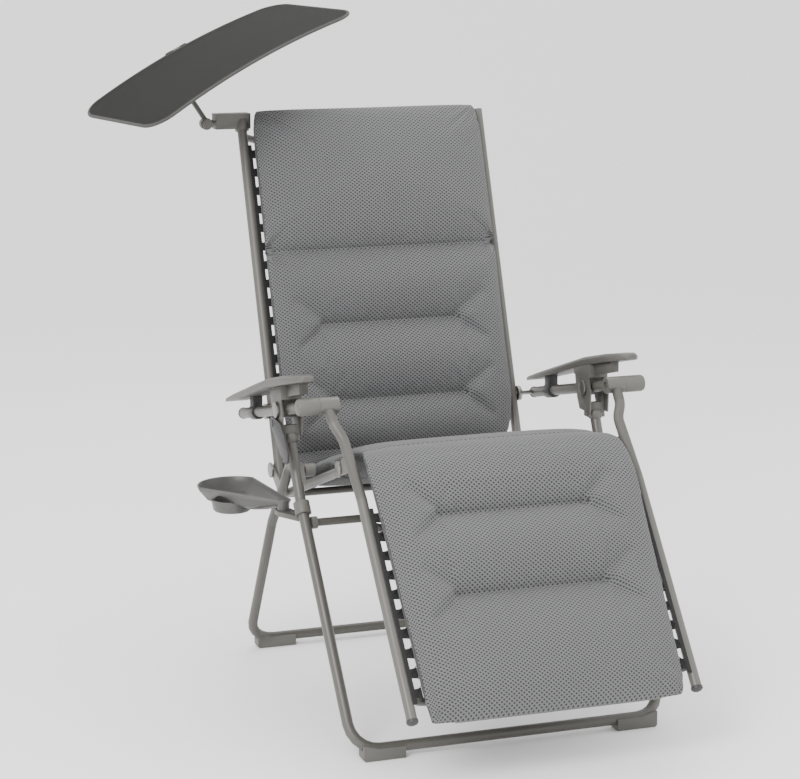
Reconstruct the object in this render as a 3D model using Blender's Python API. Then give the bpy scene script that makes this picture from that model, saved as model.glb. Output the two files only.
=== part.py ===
"""Zero gravity recliner: a folding frame of round tube with a laced, padded sling.

Metres, +Z up, the chair faces -Y, and +X is on the sitter's left. Sizes below are
in the chair's own frame: X from its middle plane, Y back from the front foot bar and
Z up from the floor. SHIFT then moves everything so the origin is at the bottom centre
of the whole bounding box.

Five welded frames make a parallelogram linkage on each side. The pivots, seen from
the side, are T (arm to leg rest), Q (arm to back), K (seat to leg rest), H (seat to
back), C (arm clamp on the front leg), D (rear leg to front leg) and P (seat to rear
leg). TQ and KH are parallel and equal, and so are TK, QH and CD.
"""
import math

import bpy
from mathutils import Matrix, Vector, geometry

# ---- Driving dimensions ------------------------------------------------------------
SHIFT = Vector((0.11686, -0.37231, 0.0))   # chair frame to the bounding box's frame
GAP = 0.0003                             # clearance between separate pieces

# Pivots in side view, as (y, z)
PIVOT_T = (0.200, 0.655)
PIVOT_Q = (0.665, 0.551)
LINK = (0.035, 0.120)                    # from K up to T, from H up to Q and from D up to C
CLAMP_FROM_T = 0.172                     # along the arm tube
PIVOT_P = (0.516, 0.412)
FOLD_LIMIT_DEG = -66.0                   # the arms turn this far down as the chair folds

# Side planes, as distances from the middle plane to each tube's centreline
ARM_X = 0.335
FRONT_FOOT_X = 0.326
FRONT_KNEE_X = 0.332
FRONT_TOP_X = 0.334
REAR_LEG_X = 0.3025
LEG_REST_X = 0.289
SEAT_X = 0.281
BACK_X = 0.275

# Tube radii
FRONT_LEG_R = 0.011
REAR_LEG_R = 0.0105
ARM_R = 0.0115
SLING_R = 0.0105
SEAT_R = 0.0095
CROSSBAR_R = 0.008
PIN_R = 0.0045
HINGE_WASHER_R = 0.0165
WASHER_THICK = 0.0060

FOOT_CLEARANCE = 0.009                   # tube's underside above the floor
FOOT_BEND_R = 0.055
BACK_TOP = (0.881, 1.158)                # centre of the back tube's upper end
LEG_REST_END = (-0.228, 0.150)
LEG_REST_BENDS = ((0.166, 0.622), (0.150, 0.598), (0.048, 0.500))
SEAT_REAR_END = (0.578, 0.3873)

BACK_SLING_X = 0.238                     # half widths of the sling between the side tubes
SEAT_SLING_X = 0.238
LEG_SLING_X = 0.248
LACE_PITCH = 0.0415
LACE_STRIP = 0.0075                      # width of the strip beside the tube
LACE_TAB = 0.021                         # length of a tab at the sling's edge
LACE_ROOT = 0.017                        # and where it leaves the strip
LACE_THICK = 0.003
SHADE_LENGTH = 0.535
SHADE_WIDTH = 0.316
SHADE_CENTRE = (-0.355, 0.789, 1.297)
SHADE_LONG = (0.884, 0.231, 0.407)       # direction of the panel's long side
SHADE_ACROSS = (-0.256, 0.966, 0.022)    # from the front edge to the rear edge

TRAY_CENTRE = (-0.409, 0.508)            # in plan, as (x, y)
TRAY_R = 0.076
TRAY_Z = 0.437                           # height of its rim
TRAY_PIVOT = (-0.351, 0.352)
TRAY_TIP_R = 0.016

SIDES = (("left", -1.0), ("right", 1.0))
TUBE_SIDES = 16
ROUND = math.cos(math.pi / TUBE_SIDES)   # a bore's flats stay clear of its tube's corners


def unit(a, b):
    """The unit vector from a to b, both (y, z) pairs."""
    length = math.hypot(b[0] - a[0], b[1] - a[1])
    return ((b[0] - a[0]) / length, (b[1] - a[1]) / length)


def along(a, direction, distance):
    return (a[0] + direction[0] * distance, a[1] + direction[1] * distance)


ARM_DIR = unit(PIVOT_T, PIVOT_Q)
PIVOT_K = (PIVOT_T[0] - LINK[0], PIVOT_T[1] - LINK[1])
PIVOT_H = (PIVOT_Q[0] - LINK[0], PIVOT_Q[1] - LINK[1])
PIVOT_C = along(PIVOT_T, ARM_DIR, CLAMP_FROM_T)
PIVOT_D = (PIVOT_C[0] - LINK[0], PIVOT_C[1] - LINK[1])
BACK_DIR = unit(PIVOT_Q, BACK_TOP)
SEAT_DIR = unit(PIVOT_K, SEAT_REAR_END)
ARM_NORMAL = (-ARM_DIR[1], ARM_DIR[0])

for existing in list(bpy.data.objects):
    bpy.data.objects.remove(existing, do_unlink=True)


# ---- Materials ---------------------------------------------------------------------
def material(name, colour, roughness, metallic=0.0):
    made = bpy.data.materials.new(name)
    made.use_nodes = True
    shader = made.node_tree.nodes["Principled BSDF"]
    shader.inputs["Base Color"].default_value = (*colour, 1.0)
    shader.inputs["Roughness"].default_value = roughness
    shader.inputs["Metallic"].default_value = metallic
    return made


FRAME_PAINT = material("frame_paint", (0.115, 0.110, 0.098), 0.45)
PLASTIC = material("plastic", (0.105, 0.102, 0.094), 0.5)
BLACK_PLASTIC = material("black_plastic", (0.02, 0.02, 0.02), 0.5)
STEEL = material("steel", (0.35, 0.34, 0.33), 0.35, 1.0)
PAD_FABRIC = material("pad_fabric", (0.17, 0.17, 0.175), 0.9)
SHADE_FABRIC = material("shade_fabric", (0.035, 0.034, 0.032), 0.85)
ELASTIC = material("elastic", (0.015, 0.015, 0.015), 0.8)


# ---- Solids ------------------------------------------------------------------------
def solid(name, verts, faces, surface):
    """A closed body from points in the chair's frame, with every face turned outward."""
    mesh = bpy.data.meshes.new(name)
    mesh.from_pydata([tuple(Vector(v) + SHIFT) for v in verts], [], faces)
    mesh.update()
    volume = 0.0
    for triangle in mesh_triangles(mesh):
        volume += triangle[0].dot(triangle[1].cross(triangle[2]))
    if volume < 0.0:
        mesh.flip_normals()
    mesh.materials.append(surface)
    made = bpy.data.objects.new(name, mesh)
    bpy.context.scene.collection.objects.link(made)
    return made


def mesh_triangles(mesh):
    mesh.calc_loop_triangles()
    points = [v.co for v in mesh.vertices]
    for triangle in mesh.loop_triangles:
        yield [points[i] for i in triangle.vertices]


def circle(radius, sides=TUBE_SIDES, squash=1.0):
    turn = 2.0 * math.pi / sides
    return [(radius * math.cos(turn * (i + 0.5)), squash * radius * math.sin(turn * (i + 0.5)))
            for i in range(sides)]


def sweep(name, path, section, surface, up=(1.0, 0.0, 0.0)):
    """Carry a closed section along a path; the section's second axis starts nearest up."""
    path = [Vector(p) for p in path]
    ahead = [(path[i + 1] - path[i]).normalized() for i in range(len(path) - 1)]
    axis_two = Vector(up)
    axis_two = (axis_two - ahead[0] * axis_two.dot(ahead[0])).normalized()
    verts = []
    for i, point in enumerate(path):
        before = ahead[max(i - 1, 0)]
        after = ahead[min(i, len(ahead) - 1)]
        if i > 0:
            axis_two = before.rotation_difference(after) @ axis_two if i < len(ahead) else axis_two
        tangent = (before + after).normalized()
        axis_one = axis_two.cross(after).normalized()
        for u, v in section:
            offset = axis_one * u + axis_two * v
            stretch = offset.dot(tangent) / max(after.dot(tangent), 0.2)
            verts.append(point + offset - after * stretch)
    count = len(section)
    faces = []
    for ring in range(len(path) - 1):
        for i in range(count):
            j = (i + 1) % count
            faces.append((ring * count + i, ring * count + j, (ring + 1) * count + j, (ring + 1) * count + i))
    faces.append(tuple(range(count))[::-1])
    faces.append(tuple(range((len(path) - 1) * count, len(path) * count)))
    return solid(name, verts, faces, surface)


def rounded(points, radius, steps=5):
    """A path with each inner corner replaced by an arc of the given radius."""
    points = [Vector(p) for p in points]
    path = [points[0]]
    for before, corner, after in zip(points, points[1:], points[2:]):
        back = (before - corner).normalized()
        ahead = (after - corner).normalized()
        half = back.angle(ahead) / 2.0
        reach = min(radius / math.tan(half), 0.45 * min((before - corner).length, (after - corner).length))
        bend = reach * math.tan(half)
        centre = corner + (back + ahead).normalized() * (bend / math.sin(half))
        start = corner + back * reach - centre
        end = corner + ahead * reach - centre
        for step in range(steps + 1):
            path.append(centre + start.slerp(end, step / steps) * bend)
    path.append(points[-1])
    return path


def rod(name, start, end, radius, surface, sides=TUBE_SIDES):
    return sweep(name, (start, end), circle(radius, sides), surface, side_vector(start, end))


def side_vector(start, end):
    ahead = (Vector(end) - Vector(start)).normalized()
    return (0.0, 0.0, 1.0) if abs(ahead.z) < 0.9 else (1.0, 0.0, 0.0)


def cross_rod(name, centre, x_from, x_to, radius, surface, sides=16):
    """A round bar along X, its centre given in side view."""
    return rod(name, (x_from, *centre), (x_to, *centre), radius, surface, sides)


def turned(name, start, direction, profile, surface, sides=16):
    """A solid of revolution; profile holds (distance along direction, radius)."""
    ahead = Vector(direction).normalized()
    one = ahead.orthogonal().normalized()
    two = ahead.cross(one)
    verts = []
    for distance, radius in profile:
        for i in range(sides):
            turn = 2.0 * math.pi * (i + 0.5) / sides
            offset = one * (radius * math.cos(turn)) + two * (radius * math.sin(turn))
            verts.append(Vector(start) + ahead * distance + offset)
    faces = []
    for ring in range(len(profile) - 1):
        for i in range(sides):
            j = (i + 1) % sides
            faces.append((ring * sides + i, ring * sides + j, (ring + 1) * sides + j, (ring + 1) * sides + i))
    faces.append(tuple(range(sides))[::-1])
    faces.append(tuple(range((len(profile) - 1) * sides, len(profile) * sides)))
    return solid(name, verts, faces, surface)


def plate(name, outline, x_from, x_to, surface, holes=()):
    """A flat plate across X; outline and holes are loops of (y, z) in side view."""
    return solid(name, *plate_mesh(outline, x_from, x_to, holes), surface)


def plate_mesh(outline, x_from, x_to, holes=()):
    loops = [list(outline)] + [list(hole) for hole in holes]
    flat = [Vector((0.0, y, z)) for loop in loops for y, z in loop]
    triangles = geometry.tessellate_polygon([[Vector((0.0, y, z)) for y, z in loop] for loop in loops])
    count = len(flat)
    verts = [(x_from, p.y, p.z) for p in flat] + [(x_to, p.y, p.z) for p in flat]
    faces = []
    for a, b, c in triangles:
        normal = (flat[b] - flat[a]).cross(flat[c] - flat[a]).x
        if normal < 0.0:
            a, b, c = a, c, b
        faces.append((a, c, b))
        faces.append((a + count, b + count, c + count))
    first = 0
    for number, loop in enumerate(loops):
        area = sum(loop[i - 1][0] * loop[i][1] - loop[i][0] * loop[i - 1][1] for i in range(len(loop)))
        outward = (area > 0.0) == (number == 0)
        for i in range(len(loop)):
            a = first + i
            b = first + (i + 1) % len(loop)
            faces.append((a, b, b + count, a + count) if outward else (b, a, a + count, b + count))
        first += len(loop)
    return verts, faces


def arc(centre, radius, start_deg, end_deg, steps):
    turns = [math.radians(start_deg + (end_deg - start_deg) * i / steps) for i in range(steps + 1)]
    return [(centre[0] + radius * math.cos(t), centre[1] + radius * math.sin(t)) for t in turns]


def disc(centre, radius, sides=16):
    return arc(centre, radius, 0.0, 360.0 * (sides - 1) / sides, sides - 1)


def weld(main, *others):
    """Join solids that overlap into one body."""
    for other in others:
        combine(main, other, "UNION")
    return main


def cut(main, *cutters):
    for cutter in cutters:
        combine(main, cutter, "DIFFERENCE")
    return main


def combine(main, other, operation):
    step = main.modifiers.new(operation.lower(), "BOOLEAN")
    step.operation = operation
    step.solver = "EXACT"
    step.object = other
    other.hide_render = True
    other.display_type = "WIRE"


def place_origin(made, point):
    """Move an object's origin to a point in the chair's frame, without moving its mesh."""
    target = Vector(point) + SHIFT
    made.data.transform(Matrix.Translation(-target))
    made.location = target


BOX_FACES = [(0, 1, 2, 3), (4, 7, 6, 5), (0, 4, 5, 1), (1, 5, 6, 2), (2, 6, 7, 3), (3, 7, 4, 0)]


# ---- Base: front legs, clamp heads and feet ------------------------------------------
def foot_cover(name, path, tube_radius, bar_y, inner_x, outer_x, side, surface):
    """A block under a leg's lower bend, grooved for the tube, with a flat sole."""
    tube_z = tube_radius + FOOT_CLEARANCE
    half = tube_radius + 0.005
    outline = [(inner_x, 0.0), (outer_x - 0.004, 0.0), (outer_x, 0.004), (outer_x, tube_z + 0.012),
               (outer_x - 0.030, tube_z + 0.004), (inner_x, tube_z + 0.004)]
    verts = [(side * x, bar_y - half, z) for x, z in outline] + [(side * x, bar_y + half, z) for x,
                                                                 z in outline]
    count = len(outline)
    faces = [tuple(range(count)), tuple(range(count, 2 * count))[::-1]]
    faces += [(i, i + count, (i + 1) % count + count, (i + 1) % count) for i in range(count)]
    block = solid(name, verts, faces, surface)
    groove = sweep(name + "_groove", path, circle(tube_radius + GAP), surface)
    lid = 0.02
    top = [(side * (inner_x - lid), bar_y - tube_radius * 0.8, tube_z),
           (side * (outer_x + lid), bar_y - tube_radius * 0.8, tube_z),
           (side * (outer_x + lid), bar_y + tube_radius * 0.8, tube_z), (side * (inner_x - lid),
                                                                         bar_y + tube_radius * 0.8, tube_z)]
    slot_verts = top + [(x, y, z + 0.05) for x, y, z in top]
    slot = solid(name + "_slot", slot_verts, BOX_FACES, surface)
    return cut(block, groove, slot)


front_foot_z = FRONT_LEG_R + FOOT_CLEARANCE
FRONT_LEG = ((FRONT_TOP_X, 0.353, 0.5655), (FRONT_TOP_X, 0.352, 0.556), (FRONT_KNEE_X, 0.300, 0.450),
             (FRONT_FOOT_X, -0.005, front_foot_z))


def leg_path(top_to_foot, foot_bend):
    """One U from the left leg's top, round the foot bar, to the right leg's top."""
    left = [(-x, y, z) for x, y, z in top_to_foot]
    return rounded(left + list(reversed(top_to_foot)), foot_bend)


def x_span(side, low, high):
    """Two faces across an arm tube, as distances outward from its centreline."""
    return side * (ARM_X + low), side * (ARM_X + high)


front_path = leg_path(FRONT_LEG, FOOT_BEND_R)
front_frame = sweep("front_leg_frame", front_path, circle(FRONT_LEG_R), FRAME_PAINT)
LUG_FACE = 0.3170
for side_name, side in SIDES:
    outline = arc(PIVOT_D, 0.0115, -60.0, 120.0, 8) + [(0.322, 0.514), (0.305, 0.478), (0.318, 0.476)]
    weld(front_frame, plate("front_leg_lug_" + side_name, outline, side * LUG_FACE, side * 0.3270,
                            FRAME_PAINT))

bar_centre = (0.268, 0.405)
bar_end = 0.3314 - FRONT_LEG_R - GAP
front_bar = cross_rod("front_crossbar", bar_centre, -bar_end, bar_end, CROSSBAR_R, FRAME_PAINT)
for side_name, side in SIDES:
    collar = cross_rod("front_crossbar_collar_" + side_name, bar_centre, side * (bar_end - 0.012),
                       side * (bar_end - 0.0005), 0.0125, FRAME_PAINT)
    weld(front_bar, collar)

# Leg head: a fork whose two ears carry the arm's barrel on stub pins
BARREL_HALF = 0.0140
EAR = (0.0144, 0.0180)
CHEEK = (0.0185, 0.0215)
BARREL_R = 0.0165
folded = math.radians(FOLD_LIMIT_DEG) + math.atan2(ARM_DIR[1], ARM_DIR[0])
folded_arm = (math.cos(folded), math.sin(folded))
folded_front = (math.sin(folded), -math.cos(folded))
for side_name, side in SIDES:
    leg_top = [point for point in front_path if point.z > 0.40 and point.x * side > 0.0]
    leg_top = leg_top if side < 0.0 else leg_top[::-1]
    up = (leg_top[0] - leg_top[1]).normalized()
    leg_top[0] = leg_top[0] + up * GAP
    head = turned("leg_head_" + side_name, leg_top[0] - up * 0.012, up,
                  ((0.0, 0.0130), (0.003, 0.0145), (0.014, 0.0145), (0.018, 0.0120)), PLASTIC, 20)
    block = plate("leg_head_block_" + side_name, ((0.345, 0.557), (0.372, 0.557), (0.372, 0.588),
                                                  (0.350, 0.588)),
                  *x_span(side, -EAR[1], EAR[1]), PLASTIC)
    weld(head, block)
    for ear_name, outward in (("outer", 1.0), ("inner", -1.0)):
        outline = arc(PIVOT_C, 0.0125, -20.0, 190.0, 10) + [(0.345, 0.557), (0.368, 0.557)]
        ear = plate("leg_head_ear_" + ear_name + "_" + side_name, outline,
                    *x_span(side, outward * EAR[0], outward * EAR[1]), PLASTIC)
        weld(head, ear)
        pin = cross_rod("clamp_pin_" + ear_name + "_" + side_name, PIVOT_C,
                        *x_span(side, outward * (BARREL_HALF - 0.0014), outward * (CHEEK[1] + 0.0005)), PIN_R,
                        STEEL)
        pin_head = cross_rod("clamp_pin_head_" + ear_name + "_" + side_name, PIVOT_C,
                             *x_span(side, outward * (CHEEK[1] + GAP),
                                     outward * (CHEEK[1] + WASHER_THICK)), HINGE_WASHER_R,
                             STEEL)
        weld(pin, pin_head)
        place_origin(pin, (0.0, *PIVOT_C))
    socket = sweep("leg_head_socket_" + side_name, leg_top, circle((FRONT_LEG_R + GAP) / ROUND), PLASTIC)
    bore = cross_rod("leg_head_bore_" + side_name, PIVOT_C, *x_span(side, -0.03, 0.03), (PIN_R + GAP) / ROUND,
                     PLASTIC)
    near = along(PIVOT_C, folded_front, ARM_R + 0.0007)
    swept = plate("leg_head_arm_way_" + side_name, (near, along(near, folded_arm, 0.10), (0.46, 0.53),
                                                    (0.46, 0.640), (0.38, 0.660)),
                  *x_span(side, -BARREL_HALF - GAP, BARREL_HALF + GAP), PLASTIC)
    cut(head, socket, bore, swept)

    pivot_x = LUG_FACE - GAP
    bolt = cross_rod("rear_leg_bolt_" + side_name, PIVOT_D, side * (REAR_LEG_X - 0.0116), side * pivot_x,
                     PIN_R, STEEL)
    bolt_head = cross_rod("rear_leg_bolt_head_" + side_name, PIVOT_D, side * (REAR_LEG_X - 0.0118),
                          side * (REAR_LEG_X - 0.0108), 0.0085, STEEL)
    weld(bolt, bolt_head)
    foot_cover("front_foot_cover_" + side_name, front_path, FRONT_LEG_R, -0.005, 0.224, 0.3095, side, PLASTIC)

# ---- Rear legs -----------------------------------------------------------------------
rear_foot_z = REAR_LEG_R + FOOT_CLEARANCE
rear_foot_y = 0.768
rear_side = [PIVOT_D, (0.455, 0.484), PIVOT_P, (0.589, 0.328), (rear_foot_y, rear_foot_z)]
rear_start = along(PIVOT_D, unit(PIVOT_D, rear_side[1]), 0.0105)
rear_path = leg_path([(REAR_LEG_X, *point) for point in [rear_start] + rear_side[1:]], FOOT_BEND_R)
rear_frame = sweep("rear_leg_frame", rear_path, circle(REAR_LEG_R), FRAME_PAINT)
for side_name, side in SIDES:
    inner = side * (REAR_LEG_X - REAR_LEG_R)
    outer = side * (REAR_LEG_X + REAR_LEG_R)
    eye = cross_rod("rear_leg_eye_" + side_name, PIVOT_D, inner, outer, 0.0135, FRAME_PAINT, 20)
    weld(rear_frame, eye)
    rest = cross_rod("rear_leg_seat_pin_" + side_name, PIVOT_P, side * (SEAT_X + SEAT_R + GAP),
                     side * REAR_LEG_X,
                     0.0060, FRAME_PAINT)
    weld(rear_frame, rest)
for side_name, side in SIDES:
    eye_bore = cross_rod("rear_leg_eye_bore_" + side_name, PIVOT_D, side * (REAR_LEG_X - 0.02),
                         side * (REAR_LEG_X + 0.02), PIN_R + GAP, FRAME_PAINT)
    cut(rear_frame, eye_bore)
    foot_cover("rear_foot_cover_" + side_name, rear_path, REAR_LEG_R, rear_foot_y, 0.200, 0.2870, side,
               PLASTIC)
place_origin(rear_frame, (0.0, *PIVOT_D))

# ---- Arms ----------------------------------------------------------------------------
ARM_TOP = ((0.206, 0.7145), (0.216, 0.7140), (0.240, 0.7110), (0.284, 0.7030), (0.380, 0.6800),
           (0.470, 0.6520),
           (0.560, 0.6240), (0.640, 0.5990), (0.695, 0.5810), (0.714, 0.5740))
ARM_THICK = (0.011, 0.013, 0.016, 0.018, 0.018, 0.017, 0.015, 0.012, 0.009, 0.006)
ARM_HALF = (0.009, 0.018, 0.027, 0.031, 0.033, 0.033, 0.031, 0.028, 0.024, 0.015)
ARM_CENTRE_X = 0.3465


LEVER_PIVOT = (0.383, 0.588)


def armrest(name, side):
    """An arched plate with softened upper edges, lofted from front to rear."""
    verts = []
    for (y, z), thick, half in zip(ARM_TOP, ARM_THICK, ARM_HALF):
        bevel = min(0.006, thick * 0.4)
        loop = ((-half, z - thick), (-half, z - bevel), (-half + bevel, z), (half - bevel, z),
                (half, z - bevel),
                (half, z - thick))
        verts += [(side * (ARM_CENTRE_X + x), y, height) for x, height in loop]
    count = 6
    rings = len(ARM_TOP)
    faces = [tuple(range(count)), tuple(range((rings - 1) * count, rings * count))[::-1]]
    for ring in range(rings - 1):
        for i in range(count):
            j = (i + 1) % count
            faces.append((ring * count + i, (ring + 1) * count + i, (ring + 1) * count + j, ring * count + j))
    made = solid(name, verts, faces, PLASTIC)
    return made


def arm_underside(y):
    """Height of the armrest's underside above a place along it."""
    for first in range(len(ARM_TOP) - 1):
        y0, z0 = ARM_TOP[first]
        y1, z1 = ARM_TOP[first + 1]
        if y <= y1:
            share = (y - y0) / (y1 - y0)
            low0 = z0 - ARM_THICK[first]
            low1 = z1 - ARM_THICK[first + 1]
            return low0 + (low1 - low0) * share
    return ARM_TOP[-1][1] - ARM_THICK[-1]


SLEEVE_X = (0.2855, 0.3250)              # leg rest's sleeve on T
KNUCKLE_R = 0.017
KNUCKLE_END = 0.370

HOUSING_Y = (0.262, 0.420)
CHEEK_OUTLINE = ((0.416, 0.650), (0.401, 0.592), (0.388, 0.569), (0.336, 0.569), (0.334, 0.610),
                 (0.349, 0.655))
for side_name, side in SIDES:
    front = Vector((side * ARM_X, *PIVOT_T))
    ahead = Vector((0.0, *ARM_DIR))
    tube_length = math.dist(PIVOT_T, PIVOT_Q)
    tube = rod("arm_tube_" + side_name, front + ahead * (KNUCKLE_R + GAP),
               front + ahead * (tube_length + 0.012),
               ARM_R, FRAME_PAINT)
    tube_bore = cross_rod("arm_tube_bore_" + side_name, PIVOT_Q, side * (ARM_X - 0.02),
                          side * (ARM_X - 0.004),
                          PIN_R + GAP, FRAME_PAINT)
    cut(tube, tube_bore)
    plug_start = front + ahead * (tube_length + 0.012 + GAP)
    turned("arm_tube_plug_" + side_name, plug_start, ahead,
           ((0.0, ARM_R + 0.001), (0.004, ARM_R + 0.001), (0.007, ARM_R * 0.75),
            (0.0085, ARM_R * 0.35)), BLACK_PLASTIC, 12)
    spigot = SLEEVE_X[0] + 0.006
    shoulder_at = SLEEVE_X[1] + GAP - spigot
    reach = KNUCKLE_END - spigot
    turned("arm_knuckle_" + side_name, (side * spigot, *PIVOT_T), (side, 0.0, 0.0),
           ((0.0, 0.0078), (shoulder_at, 0.0078), (shoulder_at, KNUCKLE_R), (reach - 0.006, KNUCKLE_R),
            (reach - 0.002, 0.0150), (reach, 0.0105)), PLASTIC, 20)
    armrest("armrest_" + side_name, side)

    top = [(y, arm_underside(y) - GAP) for y in (HOUSING_Y[1], 0.380, 0.343)]
    housing = plate("arm_housing_" + side_name, top + [(0.343, 0.642), (HOUSING_Y[1] - 0.002, 0.638)],
                    *x_span(side, -CHEEK[1], CHEEK[1]), PLASTIC)
    top = [(y, arm_underside(y) - GAP) for y in (0.360, 0.310, HOUSING_Y[0])]
    nose = plate("arm_housing_nose_" + side_name, top + [(HOUSING_Y[0], 0.668), (0.330, 0.651),
                                                         (0.360, 0.645)],
                 *x_span(side, -0.0090, 0.0090), PLASTIC)
    barrel = cross_rod("arm_housing_barrel_" + side_name, PIVOT_C, *x_span(side, -BARREL_HALF, BARREL_HALF),
                       BARREL_R,
                       PLASTIC, 20)
    neck = plate("arm_housing_neck_" + side_name, ((0.353, 0.645), (0.353, 0.625), (0.383, 0.625),
                                                   (0.383, 0.645)),
                 *x_span(side, -BARREL_HALF + 0.0005, BARREL_HALF - 0.0005), PLASTIC)
    weld(housing, nose, barrel, neck)
    bores = []
    for cheek_name, outward in (("outer", 1.0), ("inner", -1.0)):
        cheek = plate("arm_housing_cheek_" + cheek_name + "_" + side_name, CHEEK_OUTLINE,
                      *x_span(side, outward * CHEEK[0], outward * CHEEK[1]), PLASTIC)
        weld(housing, cheek)
        bores.append(cross_rod("arm_housing_pin_bore_" + cheek_name + "_" + side_name, PIVOT_C,
                               *x_span(side, outward * (BARREL_HALF - 0.0017),
                                       outward * 0.03), (PIN_R + GAP) / ROUND,
                               PLASTIC))
    bore_start = Vector((side * ARM_X, *along(PIVOT_C, ARM_DIR, -0.12)))
    bores.append(rod("arm_housing_bore_" + side_name, bore_start, bore_start + ahead * 0.24, ARM_R + GAP,
                     PLASTIC))
    cut(housing, *bores)
    place_origin(housing, (0.0, *PIVOT_C))

    ring_at = along(PIVOT_C, ARM_DIR, 0.222)
    ring = rod("arm_rear_bush_" + side_name, (side * ARM_X, *along(ring_at, ARM_DIR, -0.017)),
               (side * ARM_X, *along(ring_at, ARM_DIR, 0.017)), 0.0158, BLACK_PLASTIC, 20)
    strap_low = [along(along(ring_at, ARM_DIR, d), ARM_NORMAL, 0.012) for d in (-0.013, 0.013)]
    strap_top = [(y, arm_underside(y) - GAP) for y in (strap_low[1][0], strap_low[0][0])]
    strap = plate("arm_rear_bush_strap_" + side_name, strap_low + strap_top, side * (ARM_X - 0.010),
                  side * (ARM_X + 0.010), BLACK_PLASTIC)
    ring_bore = rod("arm_rear_bush_bore_" + side_name, (side * ARM_X, *along(ring_at, ARM_DIR, -0.03)),
                    (side * ARM_X, *along(ring_at, ARM_DIR, 0.03)), ARM_R + GAP, BLACK_PLASTIC)
    weld(ring, strap)
    cut(ring, ring_bore)

    pin = cross_rod("back_pivot_bolt_" + side_name, PIVOT_Q, side * (BACK_X - 0.002), side * (ARM_X - 0.0045),
                    PIN_R, STEEL)
    spacer = cross_rod("back_pivot_spacer_" + side_name, PIVOT_Q, side * (BACK_X + SLING_R + GAP),
                       side * (BACK_X + SLING_R + 0.008), HINGE_WASHER_R, STEEL)
    weld(pin, spacer)
    place_origin(pin, (0.0, *PIVOT_Q))

# The recline lock's lever hangs outside the left housing
LEVER_X = -(ARM_X + CHEEK[1])
lever_outline = arc(LEVER_PIVOT, 0.013, -30.0, 110.0, 8)
lever_outline += [(0.330, 0.597), (0.305, 0.578), (0.280, 0.546), (0.282, 0.528), (0.294, 0.521),
                  (0.332, 0.534)]
lever = plate("lock_lever", lever_outline, LEVER_X - 0.0030, LEVER_X - 0.0070, BLACK_PLASTIC)
weld(lever, cross_rod("lock_lever_boss", LEVER_PIVOT, LEVER_X - GAP, LEVER_X - 0.0085, 0.0075, BLACK_PLASTIC))
place_origin(lever, (LEVER_X, *LEVER_PIVOT))

# ---- Back ----------------------------------------------------------------------------
PAD_DIP = 0.034                          # how far a hidden crossbar bows away from the pad


def bowed_bar(name, x, centre, away, surface):
    """A crossbar between two side tubes that bows behind the pad."""
    dip = (centre[0] + away[0] * PAD_DIP, centre[1] + away[1] * PAD_DIP)
    points = [(-x, *centre), (-x + 0.035, *dip), (x - 0.035, *dip), (x, *centre)]
    return sweep(name, rounded(points, 0.03, 3), circle(CROSSBAR_R, 10), surface, (0.0, 0.0, 1.0))


back_length = math.dist(PIVOT_Q, BACK_TOP)
behind_back = (BACK_DIR[1], -BACK_DIR[0])
back_foot = along(PIVOT_Q, BACK_DIR, -0.168)
back_tubes = [rod("back_frame" if side < 0 else "back_tube_right", (side * BACK_X, *back_foot),
                  (side * BACK_X, *along(PIVOT_Q, BACK_DIR, back_length)), SLING_R, FRAME_PAINT)
              for side_name, side in SIDES]
back_frame = back_tubes[0]
LACE_CLEAR = 0.43 * LACE_PITCH            # crossbars meet the tubes between two tabs of the lacing
BACK_LACE = (0.050, 0.578)               # lacing's ends, above Q along the back tube
LEG_LACE = (0.420, 0.024)                # and below the knee bend along the leg rest's tube
for number, height in enumerate((BACK_LACE[0] + LACE_PITCH + LACE_CLEAR, 0.600)):
    bar = bowed_bar("back_bar_%d" % number, BACK_X, along(PIVOT_Q, BACK_DIR, height), behind_back,
                    FRAME_PAINT)
    weld(back_frame, bar)
weld(back_frame, back_tubes[1])
for side_name, side in SIDES:
    eye = cross_rod("back_eye_" + side_name, PIVOT_H, side * (BACK_X - 0.0100), side * (BACK_X + 0.0100),
                    0.0130,
                    FRAME_PAINT, 20)
    weld(back_frame, eye)
for side_name, side in SIDES:
    eye_bore = cross_rod("back_eye_bore_" + side_name, PIVOT_H, side * 0.25, side * 0.31, PIN_R + GAP,
                         FRAME_PAINT)
    bolt_bore = cross_rod("back_bolt_bore_" + side_name, PIVOT_Q, side * (BACK_X - 0.0025), side * 0.30,
                          PIN_R + GAP,
                          FRAME_PAINT)
    cut(back_frame, eye_bore, bolt_bore)
place_origin(back_frame, (0.0, *PIVOT_Q))

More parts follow.
